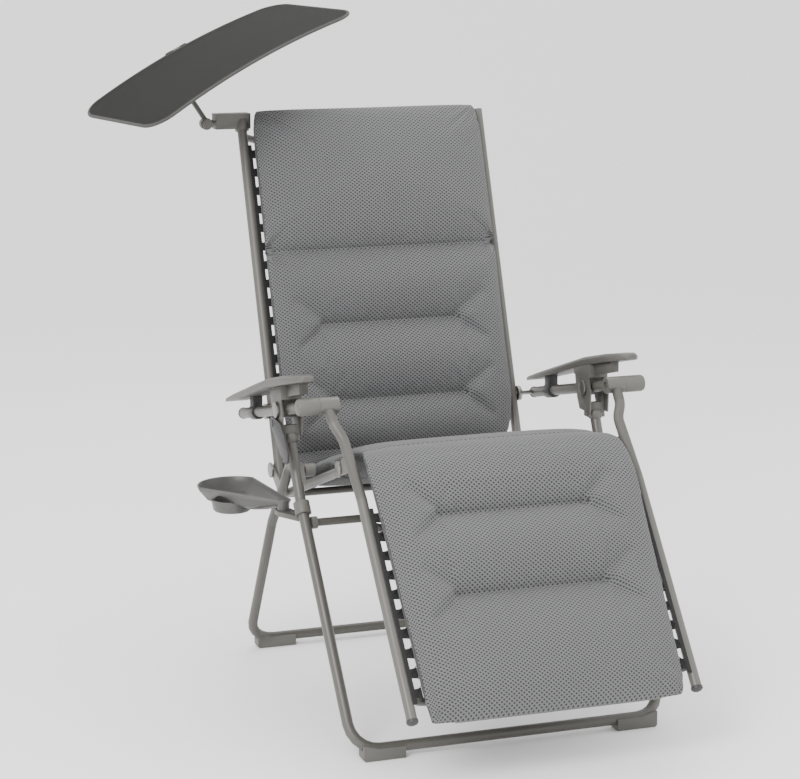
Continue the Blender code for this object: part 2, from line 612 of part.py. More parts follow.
# ---- Seat ----------------------------------------------------------------------------
seat_tubes = []
for side_name, side in SIDES:
    start = (side * SEAT_X, *along(PIVOT_K, SEAT_DIR, -0.011))
    end = (side * SEAT_X, *SEAT_REAR_END)
    name = "seat_frame" if side < 0 else "seat_rail_right"
    seat_tubes.append(sweep(name, (start, end), circle(SEAT_R, 12), FRAME_PAINT))
seat_frame = seat_tubes[0]
seat_length = math.dist(PIVOT_K, SEAT_REAR_END)
bar = cross_rod("seat_rear_bar", along(PIVOT_K, SEAT_DIR, seat_length - 0.020), -SEAT_X, SEAT_X, CROSSBAR_R,
                FRAME_PAINT)
weld(seat_frame, bar, seat_tubes[1])
LUG_X = (0.2866, 0.2902)                 # seat's rear lugs, outside the back's eyes
for side_name, side in SIDES:
    outline = arc(PIVOT_H, 0.0105, -20.0, 130.0, 8)
    outline += [along(PIVOT_K, SEAT_DIR, seat_length - 0.055), along(PIVOT_K, SEAT_DIR, seat_length - 0.002)]
    lug = plate("seat_lug_" + side_name, outline, side * LUG_X[0], side * LUG_X[1], FRAME_PAINT,
                [disc(PIVOT_H, PIN_R + GAP)])
    weld(seat_frame, lug)
    rivet = cross_rod("seat_hinge_pin_" + side_name, PIVOT_H, side * (BACK_X - 0.0125),
                      side * (LUG_X[1] + 0.0005), PIN_R,
                      STEEL)
    heads = (("inner", BACK_X - 0.0103 - WASHER_THICK, BACK_X - 0.0103),
             ("outer", LUG_X[1] + GAP, LUG_X[1] + 0.0037))
    for rivet_name, x_from, x_to in heads:
        head = cross_rod("seat_hinge_pin_head_" + rivet_name + "_" + side_name, PIVOT_H, side * x_from,
                         side * x_to,
                         HINGE_WASHER_R, STEEL)
        weld(rivet, head)
    place_origin(rivet, (0.0, *PIVOT_H))
for side_name, side in SIDES:
    rail_bore = cross_rod("seat_rail_bore_" + side_name, PIVOT_K, side * 0.26, side * 0.30, PIN_R + GAP,
                          FRAME_PAINT)
    cut(seat_frame, rail_bore)
place_origin(seat_frame, (0.0, *PIVOT_H))

# ---- Leg rest ------------------------------------------------------------------------
leg_tubes = []
leg_x = (0.307, 0.304, 0.2915, LEG_REST_X, LEG_REST_X)
for side_name, side in SIDES:
    start = along(PIVOT_T, unit(PIVOT_T, LEG_REST_BENDS[0]), 0.0125)
    points = [start] + list(LEG_REST_BENDS) + [LEG_REST_END]
    path = rounded([(side * x, *point) for x, point in zip(leg_x, points)], 0.05, 3)
    name = "leg_rest_frame" if side < 0 else "leg_rest_tube_right"
    leg_tubes.append(sweep(name, path, circle(SLING_R), FRAME_PAINT))
leg_frame = leg_tubes[0]
LEG_DIR = unit(LEG_REST_BENDS[2], LEG_REST_END)
under_leg = (-LEG_DIR[1], LEG_DIR[0])
for number, distance in enumerate((LEG_LACE[1] + LACE_PITCH - LACE_CLEAR, LEG_LACE[0] - LACE_CLEAR)):
    bar = bowed_bar("leg_rest_bar_%d" % number, LEG_REST_X, along(LEG_REST_BENDS[2], LEG_DIR, distance),
                    under_leg,
                    FRAME_PAINT)
    weld(leg_frame, bar)
weld(leg_frame, leg_tubes[1])
KNEE_LUG_X = (0.2912, 0.2952)
for side_name, side in SIDES:
    sleeve = cross_rod("leg_rest_sleeve_" + side_name, PIVOT_T, side * SLEEVE_X[0], side * SLEEVE_X[1],
                       KNUCKLE_R,
                       FRAME_PAINT, 20)
    outline = arc(PIVOT_K, 0.0105, -110.0, 60.0, 8) + [(0.130, 0.572), (0.090, 0.545)]
    lug = plate("leg_rest_lug_" + side_name, outline, side * KNEE_LUG_X[0], side * KNEE_LUG_X[1], FRAME_PAINT,
                [disc(PIVOT_K, PIN_R + GAP)])
    weld(leg_frame, sleeve, lug)
    rivet = cross_rod("knee_hinge_pin_" + side_name, PIVOT_K, side * (SEAT_X - 0.0118),
                      side * (KNEE_LUG_X[1] + 0.0005),
                      PIN_R, STEEL)
    heads = (("inner", SEAT_X - 0.0098 - WASHER_THICK, SEAT_X - 0.0098),
             ("outer", KNEE_LUG_X[1] + GAP, KNEE_LUG_X[1] + 0.0037))
    for rivet_name, x_from, x_to in heads:
        head = cross_rod("knee_hinge_pin_head_" + rivet_name + "_" + side_name, PIVOT_K, side * x_from,
                         side * x_to,
                         HINGE_WASHER_R, STEEL)
        weld(rivet, head)
    place_origin(rivet, (0.0, *PIVOT_K))
    end = Vector((side * LEG_REST_X, *LEG_REST_END))
    down = Vector((0.0, *LEG_DIR))
    turned("leg_rest_plug_" + side_name, end + down * GAP, down,
           ((0.0, SLING_R + 0.0012), (0.006, SLING_R + 0.0012), (0.009, SLING_R * 0.8),
            (0.0105, SLING_R * 0.4)),
           BLACK_PLASTIC, 12)
for side_name, side in SIDES:
    sleeve_bore = cross_rod("leg_rest_sleeve_bore_" + side_name, PIVOT_T, side * 0.28, side * 0.34,
                            0.0078 + GAP,
                            FRAME_PAINT)
    cut(leg_frame, sleeve_bore)
place_origin(leg_frame, (0.0, *PIVOT_K))


# ---- Padding -------------------------------------------------------------------------
def pad(name, sections, origin):
    """A padded mat lofted from its feet end to its head end.

    Each section is (point, half width at the back, widest half width, depth behind the
    point, depth of the widest line, depth of the front face).
    """
    verts = []
    count = len(sections)
    for i, (point, half_back, half, behind, widest, face) in enumerate(sections):
        ahead = unit(sections[max(i - 1, 0)][0], sections[min(i + 1, count - 1)][0])
        front = (-ahead[1], ahead[0])
        shoulder = widest + (face - widest) * 0.75
        right = ((half_back, -behind), (half, widest), (half - 0.010, shoulder), (half - 0.045, face))
        loop = [(-x, depth) for x, depth in right] + list(reversed(right))
        verts += [(x, *along(point, front, depth)) for x, depth in loop]
    ring = 8
    faces = [tuple(range(ring)), tuple(range((count - 1) * ring, count * ring))[::-1]]
    for r in range(count - 1):
        for i in range(ring):
            j = (i + 1) % ring
            faces.append((r * ring + i, (r + 1) * ring + i, (r + 1) * ring + j, r * ring + j))
    made = solid(name, verts, faces, PAD_FABRIC)
    place_origin(made, (0.0, *origin))
    return made


back_pad_sections = []
for height, half_back, half, behind, widest, face in (
        (-0.092, 0.225, 0.252, 0.000, 0.020, 0.028), (-0.070, 0.232, 0.262, 0.003, 0.032, 0.050),
        (0.020, BACK_SLING_X, 0.267, 0.004, 0.040, 0.062), (0.300, BACK_SLING_X, 0.268, 0.004, 0.042, 0.064),
        (0.570, BACK_SLING_X, 0.268, 0.004, 0.042, 0.066), (0.620, 0.230, 0.262, 0.004, 0.042, 0.062),
        (0.655, 0.215, 0.248, 0.002, 0.040, 0.052)):
    back_pad_sections.append((along(PIVOT_Q, BACK_DIR, height), half_back, half, behind, widest, face))
pad("back_pad", back_pad_sections, PIVOT_H)

pad("seat_pad",
    (((0.156, 0.563), 0.225, 0.262, 0.022, 0.000, 0.012), ((0.215, 0.541), 0.232, 0.268, 0.030, 0.010, 0.032),
     ((0.330, 0.502), SEAT_SLING_X, 0.268, 0.034, 0.010, 0.034), ((0.470, 0.455), SEAT_SLING_X, 0.268, 0.032,
                                                                  0.008, 0.030),
     ((0.555, 0.4265), 0.232, 0.262, 0.024, 0.006, 0.024), ((0.580, 0.418), 0.220, 0.250, 0.010, 0.002,
                                                            0.012)), PIVOT_H)

leg_pad_sections = []
for distance, half_back, half, behind, widest, face in (
        (0.462, 0.215, 0.252, 0.000, 0.008, 0.012), (0.444, 0.232, 0.262, 0.003, 0.016, 0.030),
        (0.380, LEG_SLING_X, 0.266, 0.004, 0.022, 0.042), (0.200, LEG_SLING_X, 0.272, 0.004, 0.030, 0.050),
        (0.000, LEG_SLING_X, 0.279, 0.004, 0.036, 0.054)):
    leg_pad_sections.append((along(LEG_REST_BENDS[2], LEG_DIR, distance), half_back, half, behind, widest,
                             face))
leg_pad_sections += [((0.100, 0.550), LEG_SLING_X, 0.278, 0.004, 0.030, 0.046),
                     ((0.142, 0.574), 0.225, 0.262, 0.012, 0.006, 0.014)]
pad("leg_rest_pad", leg_pad_sections, PIVOT_K)


# ---- Lacing --------------------------------------------------------------------------
def lacing(name, start, end, strip_x, tab_x, depth, side, origin):
    """An elastic edge strip beside a side tube, with one tab in each pitch that holds the sling."""
    length = math.dist(start, end)
    turns = round(length / LACE_PITCH)
    ahead = unit(start, end)
    front = (-ahead[1], ahead[0])
    inner_x = strip_x - LACE_STRIP
    outline = [(length, strip_x), (0.0, strip_x), (0.0, inner_x)]
    for i in range(turns):
        middle = (i + 0.5) * length / turns
        outline += [(middle - LACE_ROOT / 2.0, inner_x), (middle - LACE_TAB / 2.0, tab_x),
                    (middle + LACE_TAB / 2.0, tab_x), (middle + LACE_ROOT / 2.0, inner_x)]
    outline.append((length, inner_x))
    flat, faces = plate_mesh(outline, depth - LACE_THICK / 2.0, depth + LACE_THICK / 2.0)
    verts = [(side * x, *along(along(start, ahead, run), front, height)) for height, run, x in flat]
    made = solid(name, verts, faces, ELASTIC)
    place_origin(made, (0.0, *origin))
    return made


for side_name, side in SIDES:
    lacing("back_lacing_" + side_name, along(PIVOT_Q, BACK_DIR, BACK_LACE[0]),
           along(PIVOT_Q, BACK_DIR, BACK_LACE[1]),
           BACK_X - 0.0065, BACK_SLING_X + 0.0115, 0.0103, side, PIVOT_H)
    lacing("seat_lacing_" + side_name, along(PIVOT_K, SEAT_DIR, 0.070), along(PIVOT_K, SEAT_DIR, 0.334),
           SEAT_X - SEAT_R - 0.0006, SEAT_SLING_X + 0.0100, 0.0, side, PIVOT_H)
    lacing("leg_rest_lacing_" + side_name, along(LEG_REST_BENDS[2], LEG_DIR, LEG_LACE[0]),
           along(LEG_REST_BENDS[2], LEG_DIR,
                 LEG_LACE[1]), LEG_REST_X - 0.0065, LEG_SLING_X + 0.0135, 0.0103, side, PIVOT_K)

# ---- Sunshade ------------------------------------------------------------------------
shade_centre = Vector(SHADE_CENTRE)
shade_long = Vector(SHADE_LONG).normalized()
shade_across = Vector(SHADE_ACROSS)
shade_across = (shade_across - shade_long * shade_across.dot(shade_long)).normalized()
shade_up = shade_long.cross(shade_across)
BARREL = Vector((-0.3520, 0.884, 1.1450))


def shade_panel(name):
    """A stiffened fabric panel with round corners, its ends drooping a little."""
    half_long = SHADE_LENGTH / 2.0
    half_across = SHADE_WIDTH / 2.0
    corner = 0.050
    columns = (-1.0, -0.96, -0.86, -0.70, -0.45, -0.15, 0.15, 0.45, 0.70, 0.86, 0.96, 1.0)
    thick = 0.0025
    verts = []
    for column in columns:
        u = column * half_long
        inset = max(abs(u) - (half_long - corner), 0.0)
        v = half_across - corner + math.sqrt(max(corner ** 2 - inset ** 2,
                                                 0.0)) if inset < corner else half_across - corner
        droop = 0.019 * column ** 2
        middle = shade_centre + shade_long * u - shade_up * droop
        for sign_v, sign_t in ((-1, -1), (1, -1), (1, 1), (-1, 1)):
            verts.append(middle + shade_across * (v * sign_v) + shade_up * (thick * sign_t))
    faces = [(0, 1, 2, 3), tuple(range(len(verts) - 4, len(verts)))[::-1]]
    for r in range(len(columns) - 1):
        for i in range(4):
            j = (i + 1) % 4
            faces.append((r * 4 + i, (r + 1) * 4 + i, (r + 1) * 4 + j, r * 4 + j))
    return solid(name, verts, faces, SHADE_FABRIC)


panel = shade_panel("shade_panel")
hub = shade_centre + shade_across * (SHADE_WIDTH / 2.0 + 0.006) - shade_up * 0.004
HINGE_PIN_R = 0.0040
hinge_bore = rod("shade_panel_bore", hub - shade_long * 0.05, hub + shade_long * 0.05,
                 (HINGE_PIN_R + GAP) / ROUND,
                 BLACK_PLASTIC)
knuckle_gap = rod("shade_panel_gap", hub - shade_long * 0.0103, hub + shade_long * 0.0103, 0.0092,
                  BLACK_PLASTIC, 16)
hub_bar = rod("shade_panel_hub", hub - shade_long * 0.026, hub + shade_long * 0.026, 0.0080, BLACK_PLASTIC,
              16)
weld(panel, hub_bar)
cut(panel, knuckle_gap, hinge_bore)
place_origin(panel, hub)

arm_end = hub - shade_up * 0.0060 + shade_across * 0.0040
elbow = BARREL.lerp(arm_end, 0.45) + Vector((-0.004, 0.030, -0.004))
shade_arm_path = rounded((BARREL + Vector((-0.003, 0.0, 0.0105)), elbow, arm_end), 0.05, 3)
shade_arm = sweep("shade_arm", shade_arm_path, circle(0.0055, 10), PLASTIC)
barrel_ring = rod("shade_arm_barrel", BARREL - Vector((0.0, 0.0085, 0.0)),
                  BARREL + Vector((0.0, 0.0085, 0.0)), 0.0130,
                  PLASTIC, 16)
knob = rod("shade_arm_knuckle", hub - shade_long * 0.0100, hub + shade_long * 0.0100, 0.0080, PLASTIC, 16)
hinge_pin = rod("shade_arm_pin", hub - shade_long * 0.0275, hub + shade_long * 0.0275, HINGE_PIN_R, PLASTIC)
weld(shade_arm, barrel_ring, knob, hinge_pin)
barrel_bore = rod("shade_arm_bore", BARREL - Vector((0.0, 0.02, 0.0)), BARREL + Vector((0.0, 0.02, 0.0)),
                  0.0042 + GAP,
                  PLASTIC)
cut(shade_arm, barrel_bore)
place_origin(shade_arm, BARREL)

clip_top = Vector((-BACK_X, BACK_TOP[0], BACK_TOP[1]))
clip_body = solid("shade_clip", [Vector((x, y, z)) for z in (1.133, 1.166) for x, y in
                                 ((-0.334, 0.866), (-0.257, 0.866), (-0.257, 0.900), (-0.334, 0.900))],
                  BOX_FACES, PLASTIC)
for number, y in enumerate((-0.0135, 0.0135)):
    ear = rod("shade_clip_ear_%d" % number, BARREL + Vector((0.0, y - 0.0045, 0.0)),
              BARREL + Vector((0.0, y + 0.0045, 0.0)),
              0.0105, PLASTIC, 16)
    link = rod("shade_clip_link_%d" % number, BARREL + Vector((0.0, y, 0.0)),
               BARREL + Vector((0.030, y, 0.004)), 0.0044, PLASTIC, 8)
    weld(clip_body, ear, link)
clip_pin = rod("shade_clip_pin", BARREL - Vector((0.0, 0.0170, 0.0)), BARREL + Vector((0.0, 0.0170, 0.0)),
               0.0042, PLASTIC)
clip_collar = rod("shade_clip_collar", clip_top - Vector((0.0, *BACK_DIR)) * 0.031,
                  clip_top - Vector((0.0, *BACK_DIR)) * 0.010,
                  0.0150, PLASTIC, 16)
weld(clip_body, clip_pin, clip_collar)
tube_socket = rod("shade_clip_socket", clip_top - Vector((0.0, *BACK_DIR)) * 0.10,
                  clip_top + Vector((0.0, *BACK_DIR)) * GAP,
                  SLING_R + GAP, PLASTIC)
cut(clip_body, tube_socket)

# ---- Cup tray ------------------------------------------------------------------------
collar_dir = (Vector((-FRONT_KNEE_X, *FRONT_LEG[2][1:])) - Vector((-FRONT_FOOT_X,
                                                                   *FRONT_LEG[3][1:]))).normalized()
collar_centre = Vector((-FRONT_KNEE_X, *FRONT_LEG[2][1:])) - collar_dir * 0.020
collar = rod("tray_collar", collar_centre - collar_dir * 0.016, collar_centre + collar_dir * 0.010, 0.0165,
             BLACK_PLASTIC, 16)
bracket = [(-0.337, 0.280), (-0.319, 0.290), (-0.336, 0.366), (-0.366, 0.366), (-0.366, 0.338)]
collar_boss = solid("tray_collar_bracket", [(x, y, z) for z in (0.405, 0.415) for x, y in bracket],
                    [(0, 1, 2, 3, 4), (9, 8, 7, 6, 5)] + [(i, i + 5, (i + 1) % 5 + 5,
                                                           (i + 1) % 5) for i in range(5)],
                    BLACK_PLASTIC)
pin_hole = rod("tray_collar_pin_hole", (*TRAY_PIVOT, 0.40), (*TRAY_PIVOT, 0.42), (0.0030 + GAP) / ROUND,
               BLACK_PLASTIC)
collar_way = rod("tray_collar_way", collar_centre - collar_dir * 0.1, collar_centre + collar_dir * 0.1,
                 (FRONT_LEG_R + GAP) / ROUND, BLACK_PLASTIC)
weld(collar, collar_boss)
cut(collar, collar_way, pin_hole)

tray_pin = rod("tray_pin", (*TRAY_PIVOT, 0.4153), (*TRAY_PIVOT, 0.4300), 0.0050, STEEL)
tray_pin_tail = rod("tray_pin_tail", (*TRAY_PIVOT, 0.4060), (*TRAY_PIVOT, 0.4160), 0.0030, STEEL)
weld(tray_pin, tray_pin_tail)
place_origin(tray_pin, (*TRAY_PIVOT, 0.4153))


def tray_solid(name):
    """A teardrop dish that swivels on the bracket's pin: a round bowl drawn out to a boss."""
    centre = Vector((*TRAY_CENTRE, 0.0))
    pivot = Vector((*TRAY_PIVOT, 0.0))
    outward = (centre - pivot).normalized()
    side_way = Vector((-outward.y, outward.x, 0.0))
    lean = math.acos((TRAY_R - TRAY_TIP_R) / (centre - pivot).length)

    def ring(inset, height, bowl_only=0.0):
        """The rim's outline moved inward, at one height; the tip end can be drawn in toward the bowl."""
        loop = []
        for first, last, steps, middle, radius in ((lean, -lean, 20, centre, TRAY_R),
                                                   (-lean, lean - 2.0 * math.pi, 7, pivot, TRAY_TIP_R)):
            middle = middle.lerp(centre, bowl_only) if middle is pivot else middle
            radius = radius + (TRAY_R - radius) * bowl_only
            for step in range(steps + 1):
                turn = math.pi - (first + (last - first) * step / steps)
                reach = max(radius - inset, 0.002)
                point = middle - outward * (reach * math.cos(turn)) + side_way * (reach * math.sin(turn))
                loop.append((point.x, point.y, height))
        return loop

    rings = [ring(0.034, TRAY_Z - 0.036, 0.55), ring(0.020, TRAY_Z - 0.029, 0.38), ring(0.004, TRAY_Z - 0.010),
             ring(0.0, TRAY_Z - 0.0015), ring(0.001, TRAY_Z), ring(0.0035, TRAY_Z - 0.0005),
             ring(0.007, TRAY_Z - 0.009, 0.02), ring(0.022, TRAY_Z - 0.0215, 0.22),
             ring(0.034, TRAY_Z - 0.0265, 0.36)]
    sides = len(rings[0])
    verts = [point for loop in rings for point in loop]
    faces = [tuple(range(sides))[::-1], tuple(range((len(rings) - 1) * sides, len(rings) * sides))]
    for r in range(len(rings) - 1):
        for i in range(sides):
            j = (i + 1) % sides
            faces.append((r * sides + i, r * sides + j, (r + 1) * sides + j, (r + 1) * sides + i))
    return solid(name, verts, faces, PLASTIC)


tray = tray_solid("tray")
tray_boss = rod("tray_boss", (*TRAY_PIVOT, 0.4153), (*TRAY_PIVOT, TRAY_Z - 0.001), 0.0125, PLASTIC, 16)
cup_at = (-0.418, 0.492)
cup_wall = turned("tray_cup", (*cup_at, TRAY_Z - 0.050), (0.0, 0.0, 1.0),
                  ((0.0, 0.036), (0.003, 0.039), (0.024, 0.0430)),
                  PLASTIC, 28)
cup_way = turned("tray_cup_well", (*cup_at, TRAY_Z - 0.0465), (0.0, 0.0, 1.0),
                 ((0.0, 0.034), (0.002, 0.036), (0.050, 0.0400)), PLASTIC, 28)
tray_bore = rod("tray_bore", (*TRAY_PIVOT, 0.40), (*TRAY_PIVOT, 0.4305), 0.0050 + GAP, PLASTIC)
weld(tray, cup_wall, tray_boss)
cut(tray, cup_way, tray_bore)
place_origin(tray, (*TRAY_PIVOT, TRAY_Z))
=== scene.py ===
"""Looks for the padded zero gravity recliner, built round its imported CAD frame."""

import math

import bmesh
import bpy
import numpy as np
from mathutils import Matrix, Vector

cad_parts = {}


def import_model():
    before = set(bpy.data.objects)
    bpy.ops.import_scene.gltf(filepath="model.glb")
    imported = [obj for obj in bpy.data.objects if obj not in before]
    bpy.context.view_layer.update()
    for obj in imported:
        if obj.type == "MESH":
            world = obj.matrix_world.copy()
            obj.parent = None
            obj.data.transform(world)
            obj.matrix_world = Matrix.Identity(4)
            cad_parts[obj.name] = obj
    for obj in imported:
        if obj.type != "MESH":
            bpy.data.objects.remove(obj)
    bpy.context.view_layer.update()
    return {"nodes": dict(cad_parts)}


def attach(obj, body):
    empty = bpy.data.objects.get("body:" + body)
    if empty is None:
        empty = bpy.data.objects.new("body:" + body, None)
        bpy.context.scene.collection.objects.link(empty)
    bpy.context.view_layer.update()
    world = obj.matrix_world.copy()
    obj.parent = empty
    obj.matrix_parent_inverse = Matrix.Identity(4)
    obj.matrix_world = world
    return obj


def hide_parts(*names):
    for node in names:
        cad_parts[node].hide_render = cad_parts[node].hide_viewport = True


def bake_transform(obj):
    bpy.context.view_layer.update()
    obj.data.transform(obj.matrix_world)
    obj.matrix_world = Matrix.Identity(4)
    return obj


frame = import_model()
nodes = frame["nodes"]

# The chair frame that the CAD was drawn in; side views there are (y, z) pairs.
SHIFT = Vector((0.11686, -0.37231, 0.0))
MIDDLE_X = SHIFT.x
PIVOT_Q = (0.665, 0.551)
BACK_TOP = (0.881, 1.158)
LEG_BEND = (0.048, 0.500)
LEG_REST_END = (-0.228, 0.150)
PIVOT_K = (0.165, 0.535)
SEAT_REAR_END = (0.578, 0.3873)
SIDES = (("left", -1.0), ("right", 1.0))

TURN = 2.0 * math.pi
CELL_WIDTH = 0.0100                       # two staggered cells of the spacer mesh, across and along
CELL_HEIGHT = 0.0074
PAD_VOXEL = 0.006
PAD_CAP = 0.028                           # furthest that the cloth pressure may push a point
PAD_PRESSURE = 11.0
PAD_STIFFNESS = 8.0
PAD_FRAMES = 20
SEAM_DEPTH = 0.026
CHANNEL_WIDTH = 0.017                     # a sewn channel's slopes, and the line of its stitches
STITCH_WIDTH = 0.0042
FORK_LENGTH = 0.060                       # creases that fan out from a short seam's ends
FORK_SPREAD = 0.042
FORK_WIDTH = 0.013
GUSSET_RADIUS = 0.022                     # bend of the weave from a mat's face to its side


def unit(a, b):
    length = math.hypot(b[0] - a[0], b[1] - a[1])
    return ((b[0] - a[0]) / length, (b[1] - a[1]) / length)


def along(a, direction, distance):
    return (a[0] + direction[0] * distance, a[1] + direction[1] * distance)


def world(x, point):
    """A point in the row frame from a distance off the middle plane and a side-view pair."""
    return Vector((x, point[0], point[1])) + SHIFT


BACK_DIR = unit(PIVOT_Q, BACK_TOP)
SEAT_DIR = unit(PIVOT_K, SEAT_REAR_END)
LEG_DIR = unit(LEG_BEND, LEG_REST_END)
SHADE_CENTRE = Vector((-0.355, 0.789, 1.297)) + SHIFT
SHADE_LONG = Vector((0.884, 0.231, 0.407)).normalized()
SHADE_ACROSS = Vector((-0.256, 0.966, 0.022))
SHADE_ACROSS = (SHADE_ACROSS - SHADE_LONG * SHADE_ACROSS.dot(SHADE_LONG)).normalized()
SHADE_UP = SHADE_LONG.cross(SHADE_ACROSS)
SHADE_HALF = (0.2675, 0.158)
SHADE_CORNER = 0.050
SHADE_DROOP = 0.019


# ---- Materials -------------------------------------------------------------------------
class Surface:
    """A Principled material with short helpers for wiring procedural detail into it."""

    def __init__(self, name, roughness=0.5, metallic=0.0, specular=0.5, sheen=0.0):
        self.material = bpy.data.materials.new(name)
        self.material.use_nodes = True
        self.tree = self.material.node_tree
        self.shader = self.tree.nodes["Principled BSDF"]
        self.shader.inputs["Roughness"].default_value = roughness
        self.shader.inputs["Metallic"].default_value = metallic
        self.shader.inputs["Specular IOR Level"].default_value = specular
        if sheen:
            self.shader.inputs["Sheen Weight"].default_value = sheen
            self.shader.inputs["Sheen Roughness"].default_value = 0.5
        self.where = self.node("ShaderNodeTexCoord").outputs["Object"]

    def node(self, kind, **settings):
        made = self.tree.nodes.new(kind)
        for name, value in settings.items():
            setattr(made, name, value)
        return made

    def link(self, source, target):
        if isinstance(source, (int, float)):
            target.default_value = source
        else:
            self.tree.links.new(source, target)

    def math(self, operation, a, b=0.0):
        made = self.node("ShaderNodeMath", operation=operation)
        self.link(a, made.inputs[0])
        self.link(b, made.inputs[1])
        return made.outputs[0]

    def noise(self, scale, detail=3.0, stretch=None):
        made = self.node("ShaderNodeTexNoise")
        made.inputs["Scale"].default_value = scale
        made.inputs["Detail"].default_value = detail
        source = self.where
        if stretch is not None:
            mapping = self.node("ShaderNodeMapping")
            mapping.inputs["Scale"].default_value = stretch
            self.link(source, mapping.inputs["Vector"])
            source = mapping.outputs["Vector"]
        self.link(source, made.inputs["Vector"])
        return made.outputs["Fac"]

    def ranged(self, value, low, high, to_low, to_high, smooth=False):
        """Maps a range of values to another, clamped at both ends."""
        kind = "SMOOTHSTEP" if smooth else "LINEAR"
        made = self.node("ShaderNodeMapRange", interpolation_type=kind)
        self.link(value, made.inputs["Value"])
        limits = {"From Min": low, "From Max": high, "To Min": to_low, "To Max": to_high}
        for name, number in limits.items():
            made.inputs[name].default_value = number
        return made.outputs["Result"]

    def mix(self, factor, a, b):
        made = self.node("ShaderNodeMix", data_type="RGBA")
        self.link(factor, made.inputs["Factor"])
        for value, socket in ((a, made.inputs[6]), (b, made.inputs[7])):
            if isinstance(value, tuple):
                socket.default_value = (*value, 1.0)
            else:
                self.tree.links.new(value, socket)
        return made.outputs[2]

    def colour(self, source):
        self.tree.links.new(source, self.shader.inputs["Base Color"])

    def rough(self, source):
        self.tree.links.new(source, self.shader.inputs["Roughness"])

    def bump(self, height, distance, strength):
        made = self.node("ShaderNodeBump")
        made.inputs["Strength"].default_value = strength
        made.inputs["Distance"].default_value = distance
        self.link(height, made.inputs["Height"])
        self.tree.links.new(made.outputs["Normal"], self.shader.inputs["Normal"])

    def edges(self, low=0.51, high=0.56):
        """1 on sharp outer edges, where the painted highlight goes, 0 elsewhere."""
        geometry = self.node("ShaderNodeNewGeometry")
        return self.ranged(geometry.outputs["Pointiness"], low, high, 0.0, 1.0, True)


def painted_tube():
    s = Surface("frame_paint", specular=0.45)
    cloud = s.noise(9.0, 4.0)
    fine = s.noise(420.0, 2.0)
    base = s.mix(cloud, (0.060, 0.057, 0.049), (0.076, 0.072, 0.063))
    speck = s.ranged(fine, 0.55, 0.75, 0.0, 0.35)
    base = s.mix(speck, base, (0.115, 0.110, 0.099))
    # Painted highlight: sharp outer edges are painted a lighter colour.
    s.colour(s.mix(s.math("MULTIPLY", s.edges(), 0.35), base, (0.15, 0.145, 0.132)))
    s.rough(s.ranged(cloud, 0.3, 0.7, 0.34, 0.46))
    s.bump(fine, 0.00012, 0.5)
    return s.material


def moulded(name, dark, light, rough_low, rough_high, grain=1100.0):
    s = Surface(name, specular=0.4)
    cloud = s.noise(14.0, 3.0)
    pores = s.noise(grain, 3.0)
    base = s.mix(cloud, dark, light)
    # Painted highlight: sharp outer edges are painted a lighter colour.
    edge_highlight = tuple(min(1.0, c * 1.7 + 0.015) for c in light)
    s.colour(s.mix(s.math("MULTIPLY", s.edges(), 0.4), base, edge_highlight))
    s.rough(s.ranged(pores, 0.3, 0.7, rough_low, rough_high))
    s.bump(pores, 0.00022, 0.55)
    return s.material


def zinc_steel():
    s = Surface("steel", metallic=0.9, specular=0.5)
    streak = s.noise(60.0, 4.0, (1.0, 9.0, 9.0))
    cloud = s.noise(30.0, 2.0)
    s.colour(s.mix(cloud, (0.17, 0.165, 0.155), (0.27, 0.265, 0.25)))
    s.rough(s.ranged(streak, 0.3, 0.7, 0.28, 0.45))
    s.bump(streak, 0.00008, 0.5)
    return s.material


def weave_axes(s):
    """Distance round the mat and distance along it, in metres, stored on its vertices."""
    held = s.node("ShaderNodeAttribute", attribute_name="weave")
    split = s.node("ShaderNodeSeparateXYZ")
    s.tree.links.new(held.outputs["Vector"], split.inputs[0])
    return split.outputs[0], split.outputs[1]


def spacer_mesh():
    """Padded mesh cloth: staggered open cells between raised yarns."""
    s = Surface("pad_fabric", specular=0.15, sheen=0.12)
    across, run = weave_axes(s)
    wander = s.math("MULTIPLY", s.math("SUBTRACT", s.noise(55.0, 2.0), 0.5), 0.0016)
    across = s.math("ADD", across, wander)
    wide = s.math("MULTIPLY", across, TURN / CELL_WIDTH)
    tall = s.math("MULTIPLY", run, TURN / CELL_HEIGHT)
    one = s.math("COSINE", s.math("ADD", wide, tall))
    two = s.math("COSINE", s.math("SUBTRACT", wide, tall))
    cell = s.math("MULTIPLY", s.math("ADD", one, 1.0), s.math("ADD", two, 1.0))
    hole_and_shade = s.ranged(cell, 0.7, 2.4, 0.0, 1.0, True)
    fibre = s.noise(900.0, 2.0)
    cloud = s.noise(5.0, 3.0)
    yarn = s.mix(fibre, (0.105, 0.105, 0.107), (0.155, 0.155, 0.158))
    yarn = s.mix(s.ranged(cloud, 0.35, 0.65, 0.0, 0.28), yarn, (0.110, 0.110, 0.112))
    # Painted shade: the open cells are painted near black for the shade inside them; the same mask sinks
    # them in the bump.
    s.colour(s.mix(s.math("MULTIPLY", hole_and_shade, 0.92), yarn, (0.024, 0.024, 0.025)))
    s.rough(s.ranged(fibre, 0.3, 0.7, 0.78, 0.92))
    height = s.math("ADD", s.math("SUBTRACT", 1.0, hole_and_shade), s.math("MULTIPLY", fibre, 0.25))
    s.bump(height, 0.0011, 0.8)
    return s.material


